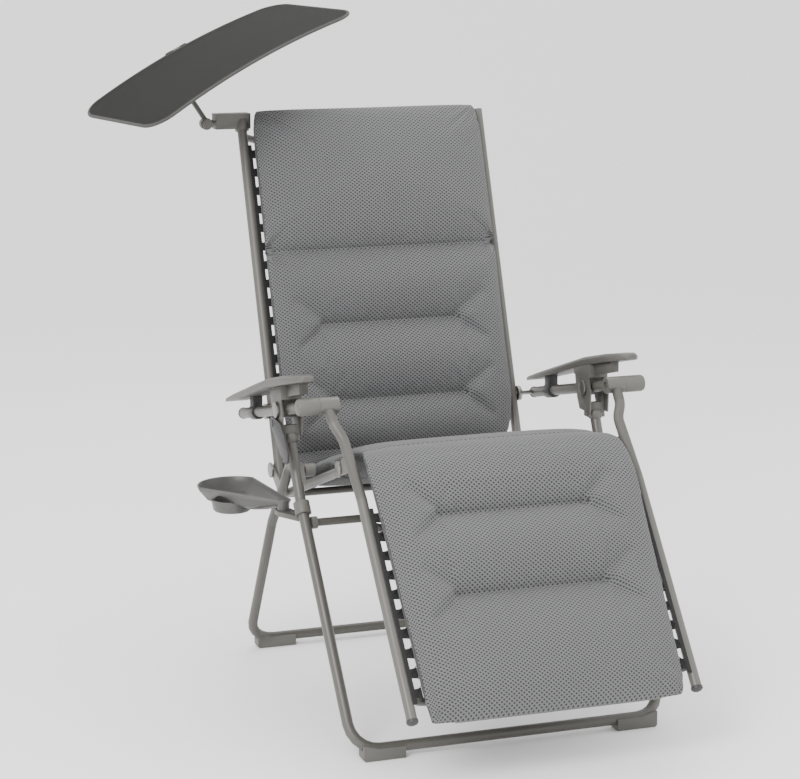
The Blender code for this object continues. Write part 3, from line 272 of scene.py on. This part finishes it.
def ribbed_gusset():
    """The mats' side walls: ribs running along the edge, with painted shade in the grooves between them.
    """
    s = Surface("pad_gusset", specular=0.12, sheen=0.1)
    across, run = weave_axes(s)
    rib = s.math("COSINE", s.math("MULTIPLY", across, TURN / 0.0042))
    knit = s.math("COSINE", s.math("MULTIPLY", run, TURN / 0.0028))
    raised = s.ranged(s.math("ADD", rib, s.math("MULTIPLY", knit, 0.35)), -1.0, 1.2, 0.0, 1.0, True)
    fibre = s.noise(800.0, 2.0)
    yarn = s.mix(fibre, (0.075, 0.075, 0.076), (0.115, 0.115, 0.117))
    # Painted shade: the grooves between the ribs take the dark colour.
    s.colour(s.mix(raised, (0.032, 0.032, 0.033), yarn))
    s.rough(s.ranged(fibre, 0.3, 0.7, 0.8, 0.93))
    s.bump(raised, 0.0009, 0.8)
    return s.material


def sling_weave():
    """Coated basket weave at the back of the mats."""
    s = Surface("pad_sling", specular=0.25)
    across, run = weave_axes(s)
    warp = s.math("SINE", s.math("MULTIPLY", across, TURN / 0.0024))
    weft = s.math("SINE", s.math("MULTIPLY", run, TURN / 0.0024))
    cross = s.math("MULTIPLY", warp, weft)
    raised = s.ranged(s.math("ABSOLUTE", cross), 0.0, 0.6, 0.0, 1.0, True)
    fibre = s.noise(600.0, 2.0)
    yarn = s.mix(fibre, (0.050, 0.050, 0.051), (0.085, 0.085, 0.086))
    # Painted shade: the gaps between the yarns take the dark colour.
    s.colour(s.mix(raised, (0.014, 0.014, 0.014), yarn))
    s.rough(s.ranged(fibre, 0.3, 0.7, 0.6, 0.75))
    s.bump(raised, 0.0006, 0.7)
    return s.material


def distance_along(s, axis):
    """Distance along a fixed direction, in metres."""
    made = s.node("ShaderNodeVectorMath", operation="DOT_PRODUCT")
    s.tree.links.new(s.where, made.inputs[0])
    made.inputs[1].default_value = axis
    return made.outputs["Value"]


def shade_cloth():
    s = Surface("shade_fabric", specular=0.12)
    across = distance_along(s, SHADE_ACROSS)
    run = distance_along(s, SHADE_LONG)
    twill = s.math("SINE", s.math("MULTIPLY", s.math("ADD", across, run), TURN / 0.0019))
    grid = s.math("SINE", s.math("MULTIPLY", s.math("SUBTRACT", across, run), TURN / 0.0038))
    raised = s.ranged(s.math("ADD", twill, s.math("MULTIPLY", grid, 0.4)), -1.2, 1.2, 0.0, 1.0)
    fibre = s.noise(700.0, 2.0)
    cloud = s.noise(6.0, 3.0)
    yarn = s.mix(fibre, (0.013, 0.0125, 0.012), (0.024, 0.023, 0.0215))
    yarn = s.mix(s.ranged(cloud, 0.35, 0.65, 0.0, 0.3), yarn, (0.015, 0.0145, 0.014))
    # Painted shade: the low lines of the twill take the dark colour.
    s.colour(s.mix(s.math("MULTIPLY", raised, 0.8), (0.008, 0.0078, 0.0074), yarn))
    s.rough(s.ranged(fibre, 0.3, 0.7, 0.62, 0.8))
    s.bump(raised, 0.0005, 0.6)
    return s.material


def bound_tape(name, dark, light, pitch):
    """Woven tape or braided cord; the braid runs round the piece in fine diagonals."""
    s = Surface(name, specular=0.25, sheen=0.05)
    split = s.node("ShaderNodeSeparateXYZ")
    s.tree.links.new(s.where, split.inputs[0])
    total = s.math("ADD", s.math("ADD", split.outputs[0], split.outputs[1]), split.outputs[2])
    other = s.math("SUBTRACT", s.math("ADD", split.outputs[0], split.outputs[2]), split.outputs[1])
    braid = s.math("MULTIPLY", s.math("SINE", s.math("MULTIPLY", total, TURN / pitch)),
                   s.math("SINE", s.math("MULTIPLY", other, TURN / pitch)))
    raised = s.ranged(braid, -0.5, 0.5, 0.0, 1.0, True)
    fibre = s.noise(900.0, 2.0)
    # Painted shade: the grooves of the braid take the dark colour.
    s.colour(s.mix(raised, dark, s.mix(fibre, light, tuple(c * 1.4 for c in light))))
    s.rough(s.ranged(fibre, 0.3, 0.7, 0.6, 0.8))
    s.bump(raised, 0.0004, 0.7)
    return s.material


PAINT = painted_tube()
PLASTIC = moulded("plastic", (0.060, 0.057, 0.050), (0.078, 0.075, 0.067), 0.40, 0.56)
TRAY_PLASTIC = moulded("tray_plastic", (0.047, 0.046, 0.044), (0.062, 0.061, 0.058), 0.30, 0.46, 1500.0)
BLACK_PLASTIC = moulded("black_plastic", (0.014, 0.014, 0.014), (0.022, 0.022, 0.022), 0.36, 0.52)
STEEL = zinc_steel()
MESH_CLOTH = spacer_mesh()
GUSSET = ribbed_gusset()
SLING = sling_weave()
SHADE_CLOTH = shade_cloth()
ELASTIC = bound_tape("elastic", (0.006, 0.006, 0.006), (0.018, 0.018, 0.018), 0.0022)
PIPING = bound_tape("shade_piping", (0.034, 0.033, 0.031), (0.068, 0.066, 0.062), 0.0016)


# ---- CAD nodes that stay ---------------------------------------------------------------
def smooth_group(limit_deg):
    """Geometry nodes that shade smooth, except across edges sharper than a limit."""
    group = bpy.data.node_groups.new("smooth_below_%d" % limit_deg, "GeometryNodeTree")
    group.interface.new_socket("Geometry", in_out="INPUT", socket_type="NodeSocketGeometry")
    group.interface.new_socket("Geometry", in_out="OUTPUT", socket_type="NodeSocketGeometry")
    start = group.nodes.new("NodeGroupInput")
    end = group.nodes.new("NodeGroupOutput")
    smooth = group.nodes.new("GeometryNodeSetShadeSmooth")
    sharp = group.nodes.new("GeometryNodeSetShadeSmooth")
    sharp.domain = "EDGE"
    sharp.inputs["Shade Smooth"].default_value = False
    angle = group.nodes.new("GeometryNodeInputMeshEdgeAngle")
    above = group.nodes.new("FunctionNodeCompare")
    above.data_type = "FLOAT"
    above.operation = "GREATER_THAN"
    above.inputs[1].default_value = math.radians(limit_deg)
    group.links.new(start.outputs[0], smooth.inputs["Geometry"])
    group.links.new(smooth.outputs[0], sharp.inputs["Geometry"])
    group.links.new(angle.outputs["Unsigned Angle"], above.inputs[0])
    group.links.new(above.outputs[0], sharp.inputs["Selection"])
    group.links.new(sharp.outputs[0], end.inputs[0])
    return group


SMOOTH = smooth_group(38)


def dress(node, surface, bevel=0.0):
    """Gives a CAD node its material and soft edges, without changing its mesh."""
    made = nodes[node]
    made.data.materials.clear()
    made.data.materials.append(surface)
    merge = made.modifiers.new("merge", "WELD")
    merge.merge_threshold = 0.00002
    if bevel:
        edge = made.modifiers.new("edges", "BEVEL")
        edge.width = bevel
        edge.segments = 2
        edge.limit_method = "ANGLE"
        edge.angle_limit = math.radians(40.0)
        edge.use_clamp_overlap = True
    shading = made.modifiers.new("shading", "NODES")
    shading.node_group = SMOOTH


for node in ("front_leg_frame", "front_crossbar", "rear_leg_frame", "back_frame", "seat_frame",
             "leg_rest_frame"):
    dress(node, PAINT)
dress("tray", TRAY_PLASTIC)
dress("shade_panel", SHADE_CLOTH)
dress("tray_collar", PLASTIC, 0.0008)
dress("lock_lever", BLACK_PLASTIC, 0.0010)
dress("shade_clip", PLASTIC, 0.0012)
dress("shade_arm", PLASTIC)
dress("tray_pin", STEEL)
for side_name, side in SIDES:
    dress("arm_tube_" + side_name, PAINT)
    dress("armrest_" + side_name, PLASTIC, 0.0030)
    for node in ("front_foot_cover_", "rear_foot_cover_", "leg_head_", "arm_housing_"):
        dress(node + side_name, PLASTIC, 0.0012)
    dress("arm_knuckle_" + side_name, PLASTIC, 0.0008)
    for node in ("arm_rear_bush_", "arm_tube_plug_", "leg_rest_plug_"):
        dress(node + side_name, BLACK_PLASTIC, 0.0006)
    for node in ("clamp_pin_inner_", "clamp_pin_outer_", "rear_leg_bolt_", "back_pivot_bolt_",
                 "seat_hinge_pin_",
                 "knee_hinge_pin_"):
        dress(node + side_name, STEEL, 0.0003)
    for node in ("back_lacing_", "seat_lacing_", "leg_rest_lacing_"):
        dress(node + side_name, ELASTIC, 0.0008)


# ---- Mesh helpers ----------------------------------------------------------------------
def new_object(name, verts, faces, *surfaces):
    mesh = bpy.data.meshes.new(name)
    mesh.from_pydata([tuple(v) for v in verts], [], faces)
    mesh.update()
    for surface in surfaces:
        mesh.materials.append(surface)
    made = bpy.data.objects.new(name, mesh)
    bpy.context.scene.collection.objects.link(made)
    return made


def face_outward(made):
    bm = bmesh.new()
    bm.from_mesh(made.data)
    bmesh.ops.recalc_face_normals(bm, faces=bm.faces)
    bm.to_mesh(made.data)
    bm.free()
    made.data.shade_smooth()
    return made


def apply_all(made):
    """Applies every modifier by replacing the mesh with its evaluated copy."""
    graph = bpy.context.evaluated_depsgraph_get()
    graph.update()
    baked = bpy.data.meshes.new_from_object(made.evaluated_get(graph))
    made.modifiers.clear()
    made.data = baked
    return made


def loft(name, loops, *surfaces):
    """A closed body through loops with the same number of points, with capped ends."""
    count = len(loops[0])
    verts = [point for loop in loops for point in loop]
    faces = [tuple(range(count)), tuple(range((len(loops) - 1) * count, len(loops) * count))]
    for r in range(len(loops) - 1):
        for i in range(count):
            j = (i + 1) % count
            faces.append((r * count + i, (r + 1) * count + i, (r + 1) * count + j, r * count + j))
    return face_outward(new_object(name, verts, faces, *surfaces))


def tube(name, path, radius, surface, sides=12, closed=False):
    """A round cord along a path."""
    path = [Vector(p) for p in path]
    count = len(path)
    loops = []
    normal = None
    for i, point in enumerate(path):
        before = path[i - 1] if i or closed else point
        after = path[(i + 1) % count] if i + 1 < count or closed else point
        tangent = (after - before).normalized()
        if normal is None:
            normal = tangent.orthogonal()
        normal = (normal - tangent * normal.dot(tangent)).normalized()
        other = tangent.cross(normal)
        loops.append([point + (normal * math.cos(t) + other * math.sin(t)) * radius
                      for t in (TURN * k / sides for k in range(sides))])
    if not closed:
        return loft(name, loops, surface)
    verts = [point for loop in loops for point in loop]
    faces = []
    for r in range(count):
        q = (r + 1) % count
        for i in range(sides):
            j = (i + 1) % sides
            faces.append((r * sides + i, q * sides + i, q * sides + j, r * sides + j))
    return face_outward(new_object(name, verts, faces, surface))


def vertex_array(mesh, kind):
    """A mesh's vertex positions or normals as an array of rows."""
    flat = np.empty(len(mesh.vertices) * 3)
    mesh.vertices.foreach_get(kind, flat)
    return flat.reshape(-1, 3)


def move_vertices(mesh, co):
    mesh.vertices.foreach_set("co", co.ravel())
    mesh.update()


# ---- Padded mats -----------------------------------------------------------------------
# Places in a station's five sizes: half width at the back, half width, depth behind the line,
# depth at the widest place and depth of the face
HALF, WIDEST, FACE = 1, 3, 4
BATCH = 4000                              # points read at a time, to keep memory small


class Line:
    """A mat's centre line in side view, with its section sizes, read by distance along it."""

    def __init__(self, stations):
        self.points = np.array([s[0] for s in stations], float)
        self.sizes = np.array([s[1:] for s in stations], float)
        steps = np.hypot(*np.diff(self.points, axis=0).T)
        self.at = np.concatenate(([0.0], np.cumsum(steps)))
        self.length = float(self.at[-1])
        fine = np.linspace(0.0, self.length, max(8, int(self.length / 0.004)))
        line = np.column_stack([np.interp(fine, self.at, self.points[:, k]) for k in (0, 1)])
        for _ in range(30):
            line[1:-1] = (line[:-2] + 2.0 * line[1:-1] + line[2:]) / 4.0
        self.fine = fine
        self.line = line
        slope = np.gradient(line, axis=0)
        slope /= np.hypot(slope[:, 0], slope[:, 1])[:, None]
        self.front = np.column_stack((-slope[:, 1], slope[:, 0]))

    def size_at(self, run, which):
        return np.interp(run, self.at, self.sizes[:, which])

    def outward(self, run):
        """Unit vectors out of the mat's face at distances along it."""
        front = np.column_stack([np.interp(run, self.fine, self.front[:, k]) for k in (0, 1)])
        return np.column_stack((np.zeros(len(run)), front / np.hypot(front[:, 0], front[:, 1])[:, None]))

    def local(self, points):
        """Distance off the middle plane, distance along the mat and depth of many points."""
        run, depth = self.read(points[:, 1] - SHIFT.y, points[:, 2] - SHIFT.z)
        return points[:, 0] - MIDDLE_X, run, depth

    def place(self, s, depth):
        point = [np.interp(s, self.fine, self.line[:, k]) for k in (0, 1)]
        front = [np.interp(s, self.fine, self.front[:, k]) for k in (0, 1)]
        return (point[0] + front[0] * depth, point[1] + front[1] * depth)

    def read(self, y, z):
        """Distance along the line, and depth in front of it, of many points."""
        flat = np.column_stack((y, z))
        run = np.empty(len(flat))
        depth = np.empty(len(flat))
        for first in range(0, len(flat), BATCH):
            rows = slice(first, first + BATCH)
            part = flat[rows]
            gap = part[:, None, :] - self.line[None, :, :]
            best = np.argmin((gap ** 2).sum(2), axis=1)
            row = np.arange(len(part))
            along_front = self.front[best]
            slope = np.column_stack((along_front[:, 1], -along_front[:, 0]))
            near = gap[row, best]
            run[rows] = self.fine[best] + (near * slope).sum(1)
            depth[rows] = (near * along_front).sum(1)
        return run, depth


def bell(distance, width):
    return np.exp(-(distance / width) ** 2)


def seam_shape(x, run, seams):
    """How far into a sewn channel each point lies, 0 to 1, with the forks at a seam's ends."""
    total = np.zeros(len(x))
    tight = np.zeros(len(x))
    for at, half, forked in seams:
        beyond = np.abs(x) - half
        fade = bell(np.maximum(beyond, 0.0), 0.014)
        total = np.maximum(total, fade * bell(run - at, CHANNEL_WIDTH))
        tight = np.maximum(tight, fade * bell(run - at, STITCH_WIDTH))
        if forked:
            share = np.clip(beyond / FORK_LENGTH, 0.0, 1.0)
            outer = bell(np.maximum(beyond - FORK_LENGTH, 0.0), 0.012)
            inner = bell(np.maximum(-beyond, 0.0), 0.010)
            for way in (1.0, -1.0):
                fork = bell(run - at - way * (0.006 + FORK_SPREAD * share), FORK_WIDTH)
                total = np.maximum(total, 0.62 * fork * outer * inner * (1.0 - 0.55 * share))
    return total, tight


def mat(name, stations, seams, replaced, pinned_ends=(True, True)):
    """A padded mat: a plain form, inflated by cloth pressure between its sewn channels.

    A seam is its distance along the mat, its half length and whether its ends fan out.
    """
    line = Line(stations)
    loops = []
    rows = max(6, int(line.length / 0.022))
    stops = [line.length * i / rows for i in range(rows + 1)]
    for s in [0.0, 0.0015, *stops[1:-1], line.length - 0.0015, line.length]:
        half_back, half, behind, widest, face = (line.size_at(s, k) for k in range(5))
        lean = min(face - widest, 0.03)
        ring = ((half_back * 0.5, -behind), (half_back - 0.006, -behind),
                (half_back + 0.004, -behind + 0.006), (half - 0.003, widest - 0.010), (half, widest),
                (half - 0.005, widest + lean * 0.45), (half - 0.020, face - 0.005),
                (half - 0.055, face), (half * 0.5, face + 0.001))
        loop = [(-x, d) for x, d in ring]
        loop.append((0.0, face + 0.0015))
        loop += [(x, d) for x, d in reversed(ring)]
        loop.append((0.0, -behind))
        loops.append([world(x, line.place(s, d)) for x, d in loop])
    made = loft(name, loops, MESH_CLOTH, GUSSET, SLING)
    crease = made.modifiers.new("round", "SUBSURF")
    crease.levels = 2
    remesh = made.modifiers.new("even", "REMESH")
    remesh.mode = "VOXEL"
    remesh.voxel_size = PAD_VOXEL
    apply_all(made)

    mesh = made.data
    co = vertex_array(mesh, "co")
    x, run, depth = line.local(co)
    front = line.outward(run)
    facing = (vertex_array(mesh, "normal") * front).sum(1)
    low = line.size_at(run, WIDEST) * 0.4
    upper = np.clip((depth - low) / np.maximum(line.size_at(run, FACE) - low, 0.004), 0.0, 1.0)
    channel, tight = seam_shape(x, run, seams)
    sunk = SEAM_DEPTH * channel * upper * np.clip(facing * 1.6, 0.0, 1.0)
    co = co - front * sunk[:, None]
    move_vertices(mesh, co)

    pins = made.vertex_groups.new(name="held")
    held = (facing < -0.15) | (tight * (facing > 0.3) > 0.45)
    if pinned_ends[0]:
        held |= run < 0.008
    if pinned_ends[1]:
        held |= run > line.length - 0.008
    pins.add([int(i) for i in np.nonzero(held)[0]], 1.0, "REPLACE")
    inflate(made, co)

    fine = made.modifiers.new("fine", "SUBSURF")
    fine.levels = 1
    fine.render_levels = 1
    apply_all(made)
    stitch(made, line, seams)
    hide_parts(*replaced)
    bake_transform(made)


def inflate(made, rest):
    """Cloth pressure for twenty frames, with no gravity; no point moves further than the cap."""
    scene = bpy.context.scene
    cloth = made.modifiers.new("cloth", "CLOTH")
    settings = cloth.settings
    settings.quality = 5
    settings.mass = 0.25
    settings.tension_stiffness = PAD_STIFFNESS
    settings.compression_stiffness = PAD_STIFFNESS
    settings.shear_stiffness = PAD_STIFFNESS / 2.0
    settings.bending_stiffness = 0.35
    settings.use_pressure = True
    settings.uniform_pressure_force = PAD_PRESSURE
    settings.vertex_group_mass = "held"
    settings.effector_weights.gravity = 0.0
    cloth.collision_settings.use_collision = False
    cloth.point_cache.frame_start = 1
    cloth.point_cache.frame_end = PAD_FRAMES
    for number in range(1, PAD_FRAMES + 1):
        scene.frame_set(number)
    apply_all(made)
    shift = vertex_array(made.data, "co") - rest
    size = np.linalg.norm(shift, axis=1)
    share = np.minimum(1.0, PAD_CAP / np.maximum(size, 1e-9))
    move_vertices(made.data, rest + shift * share[:, None])
    made.vertex_groups.clear()
    scene.frame_set(1)


def stitch(made, line, seams):
    """Sewn lines and puckers, the weave's own coordinates, and the side and back cloths."""
    mesh = made.data
    co = vertex_array(mesh, "co")
    normal = vertex_array(mesh, "normal")
    x, run, depth = line.local(co)
    facing = (normal * line.outward(run)).sum(1)
    push = np.zeros(len(co))
    for at, half, _ in seams:
        away = np.abs(run - at)
        fade = bell(np.maximum(np.abs(x) - half, 0.0), 0.010)
        push -= 0.0022 * fade * bell(away, 0.0028)
        short_wave = np.sin(x * TURN / 0.031 + 1.7 * np.sin(x * 37.0))
        pleat = short_wave * np.sin(x * TURN / 0.083 + at * 9.0)
        push += 0.0011 * fade * pleat * bell(away - 0.011, 0.011)
    push *= np.clip(facing * 1.5, 0.0, 1.0)
    move_vertices(mesh, co + normal * push[:, None])

    half = line.size_at(run, HALF)
    face = line.size_at(run, FACE)
    flat_half = half - GUSSET_RADIUS
    a = np.abs(x) - flat_half
    b = depth - (face - GUSSET_RADIUS)
    corner = np.arctan2(np.maximum(a, 1e-6), np.maximum(b, 1e-6)) * GUSSET_RADIUS
    side = flat_half + GUSSET_RADIUS * math.pi / 2.0 - b
    girth = np.where(a <= 0.0, np.abs(x), np.where(b >= 0.0, flat_half + corner, side))
    weave = np.zeros((len(co), 3), np.float32)
    weave[:, 0] = np.sign(x) * np.where(facing < -0.3, np.abs(x), girth)
    weave[:, 1] = run
    held = mesh.attributes.new("weave", "FLOAT_VECTOR", "POINT")
    held.data.foreach_set("vector", weave.ravel())
    kind = np.zeros(len(co), int)
    kind[(np.abs(normal[:, 0]) > 0.72) & (depth < line.size_at(run, WIDEST) + 0.002)] = 1
    kind[facing < -0.45] = 2
    for polygon in mesh.polygons:
        votes = [int(kind[i]) for i in polygon.vertices]
        polygon.material_index = max(set(votes), key=votes.count)
    mesh.shade_smooth()


back_stations = []
for height, half_back, half, behind, widest, face in (
        (-0.097, 0.228, 0.246, 0.000, 0.012, 0.020), (-0.062, 0.232, 0.258, 0.003, 0.026, 0.040),
        (0.000, 0.238, 0.264, 0.004, 0.036, 0.050), (0.300, 0.238, 0.265, 0.004, 0.038, 0.053),
        (0.560, 0.238, 0.265, 0.004, 0.040, 0.056), (0.625, 0.234, 0.262, 0.004, 0.040, 0.054),
        (0.650, 0.222, 0.252, 0.002, 0.036, 0.046)):
    back_stations.append((along(PIVOT_Q, BACK_DIR, height), half_back, half, behind, widest, face))
mat("back_mat", back_stations, ((0.1055, 0.150, True), (0.272, 0.150, True), (0.4345, 0.262, False)),
    ("back_pad",), (True, False))

seat_front = [((0.1495, 0.5680), 0.228, 0.252, 0.014, -0.002, 0.008),
              ((0.165, 0.5600), 0.230, 0.258, 0.022, 0.003, 0.020),
              ((0.215, 0.5410), 0.234, 0.262, 0.028, 0.008, 0.026),
              ((0.290, 0.5155), 0.238, 0.264, 0.032, 0.008, 0.026),
              ((0.3140, 0.5074), 0.236, 0.258, 0.030, 0.002, 0.014)]
mat("seat_front_mat", seat_front, (), ("seat_pad",))
seat_rear = [((0.3146, 0.5072), 0.236, 0.258, 0.030, 0.002, 0.014),
             ((0.340, 0.4986), 0.238, 0.264, 0.032, 0.008, 0.026),
             ((0.470, 0.4550), 0.238, 0.264, 0.030, 0.008, 0.024),
             ((0.555, 0.4265), 0.234, 0.258, 0.020, 0.004, 0.018),
             ((0.592, 0.4190), 0.228, 0.248, 0.008, 0.002, 0.014),
             ((0.620, 0.4330), 0.226, 0.246, 0.004, 0.003, 0.014),
             ((0.6375, 0.4705), 0.228, 0.246, 0.000, 0.006, 0.016)]
mat("seat_rear_mat", seat_rear, ((0.165, 0.150, True),), ())

leg_stations = []
for distance, half_back, half, behind, widest, face in (
        (0.464, 0.226, 0.256, 0.000, 0.010, 0.018), (0.446, 0.236, 0.262, 0.003, 0.014, 0.028),
        (0.380, 0.248, 0.265, 0.004, 0.020, 0.034), (0.200, 0.248, 0.270, 0.004, 0.026, 0.041),
        (0.000, 0.248, 0.276, 0.004, 0.032, 0.046)):
    leg_stations.append((along(LEG_BEND, LEG_DIR, distance), half_back, half, behind, widest, face))
leg_stations += [((0.100, 0.550), 0.246, 0.274, 0.004, 0.026, 0.036),
                 ((0.142, 0.5715), 0.230, 0.258, 0.012, 0.002, 0.012),
                 ((0.1488, 0.5686), 0.228, 0.252, 0.012, -0.002, 0.008)]
mat("leg_rest_mat", leg_stations, ((0.246, 0.150, True), (0.411, 0.150, True)),
    ("leg_rest_pad",), (False, True))

# ---- Sunshade binding and lacing cords ---------------------------------------------------
def shade_edge():
    """The panel's outline at mid thickness, with its round corners and drooping ends."""
    points = []
    for long_way, across_way in ((1.0, 1.0), (-1.0, 1.0), (-1.0, -1.0), (1.0, -1.0)):
        for step in range(9):
            turn = math.pi / 16.0 * step
            if long_way * across_way < 0.0:
                turn = math.pi / 2.0 - turn
            u = long_way * (SHADE_HALF[0] - SHADE_CORNER + SHADE_CORNER * math.cos(turn))
            v = across_way * (SHADE_HALF[1] - SHADE_CORNER + SHADE_CORNER * math.sin(turn))
            points.append((u, v))
    path = []
    for first, second in zip(points, points[1:] + points[:1]):
        parts = max(1, round(math.dist(first, second) / 0.03))
        for part in range(parts):
            u = first[0] + (second[0] - first[0]) * part / parts
            v = first[1] + (second[1] - first[1]) * part / parts
            droop = SHADE_DROOP * (u / SHADE_HALF[0]) ** 2
            path.append(SHADE_CENTRE + SHADE_LONG * u + SHADE_ACROSS * v - SHADE_UP * droop)
    return path


piping = tube("shade_piping", shade_edge(), 0.0034, PIPING, closed=True)
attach(piping, "shade")

LACE_PITCH = 0.0415
CORD_R = 0.0011
LACES = (("back", along(PIVOT_Q, BACK_DIR, 0.050), along(PIVOT_Q, BACK_DIR, 0.578),
          0.2610, 0.2440, 0.0103),
         ("seat", along(PIVOT_K, SEAT_DIR, 0.070), along(PIVOT_K, SEAT_DIR, 0.334),
          0.2635, 0.2440, 0.0),
         ("leg_rest", along(LEG_BEND, LEG_DIR, 0.420), along(LEG_BEND, LEG_DIR, 0.024),
          0.2750, 0.2550, 0.0103))


def lace_cord(name, start, end, strip_x, sling_x, depth, side):
    """A thin shock cord that zigzags in the open spaces between the lacing's tabs."""
    length = math.dist(start, end)
    ahead = unit(start, end)
    front = (-ahead[1], ahead[0])
    turns = round(length / LACE_PITCH)
    path = []
    for i in range(turns):
        for share, x in ((0.0, sling_x), (0.5, strip_x)):
            run = (i + share) * length / turns
            path.append(world(side * x, along(along(start, ahead, run), front, depth + 0.0035)))
    return tube(name, path, CORD_R, ELASTIC, sides=8)


for body, start, end, strip_x, sling_x, depth in LACES:
    for side_name, side in SIDES:
        cord = lace_cord(body + "_cord_" + side_name, start, end, strip_x, sling_x, depth, side)
        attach(cord, body)

# ---- Stage -----------------------------------------------------------------------------
FLOOR_HALF_WIDTH = 16.0
FLOOR_FRONT = -14.0
COVE_START = 5.0
COVE_RADIUS = 3.0
WALL_TOP = 7.9
floor_side = [(FLOOR_FRONT, 0.0)]
for step in range(13):
    turn = math.pi / 2.0 * step / 12
    floor_side.append((COVE_START + COVE_RADIUS * math.sin(turn), COVE_RADIUS * (1.0 - math.cos(turn))))
floor_side.append((COVE_START + COVE_RADIUS, WALL_TOP))
floor_verts = [(x, y, z) for y, z in floor_side for x in (-FLOOR_HALF_WIDTH, FLOOR_HALF_WIDTH)]
floor_faces = [(2 * i, 2 * i + 1, 2 * i + 3, 2 * i + 2) for i in range(len(floor_side) - 1)]
floor = new_object("studio_floor", floor_verts, floor_faces)
floor.data.shade_smooth()
pale = Surface("studio_floor", specular=0.2)
pale.colour(pale.mix(pale.noise(0.6, 2.0), (0.93, 0.93, 0.93), (0.96, 0.96, 0.96)))
pale.rough(pale.ranged(pale.noise(3.0, 2.0), 0.3, 0.7, 0.6, 0.7))
floor.data.materials.append(pale.material)

world_light = bpy.data.worlds.new("studio")
bpy.context.scene.world = world_light
world_light.use_nodes = True
world_light.node_tree.nodes["Background"].inputs["Color"].default_value = (1.0, 1.0, 1.0, 1.0)
world_light.node_tree.nodes["Background"].inputs["Strength"].default_value = 1.6


def softbox(name, place, aim, size, energy):
    data = bpy.data.lights.new(name, "AREA")
    data.shape = "RECTANGLE"
    data.size = size[0]
    data.size_y = size[1]
    data.energy = energy
    lamp = bpy.data.objects.new(name, data)
    bpy.context.scene.collection.objects.link(lamp)
    lamp.location = place
    lamp.rotation_euler = (Vector(aim) - Vector(place)).to_track_quat("-Z", "Y").to_euler()


softbox("key", (-2.6, -2.8, 3.2), (0.0, 0.0, 0.6), (1.6, 1.6), 170.0)
softbox("fill", (3.2, -2.2, 2.2), (0.0, 0.0, 0.6), (2.4, 2.4), 30.0)
softbox("top", (0.2, 1.0, 3.8), (0.0, 0.0, 0.5), (3.0, 2.0), 70.0)

camera_data = bpy.data.cameras.new("camera")
camera_data.lens = 112.34
camera_data.sensor_width = 36.0
camera_data.clip_end = 100.0
camera = bpy.data.objects.new("camera", camera_data)
bpy.context.scene.collection.objects.link(camera)
camera.location = Vector((-1.7997, -4.3149, 1.6375)) + SHIFT
camera.rotation_euler = (math.radians(90.0 - 11.307), 0.0, math.radians(-20.0))
bpy.context.scene.camera = camera
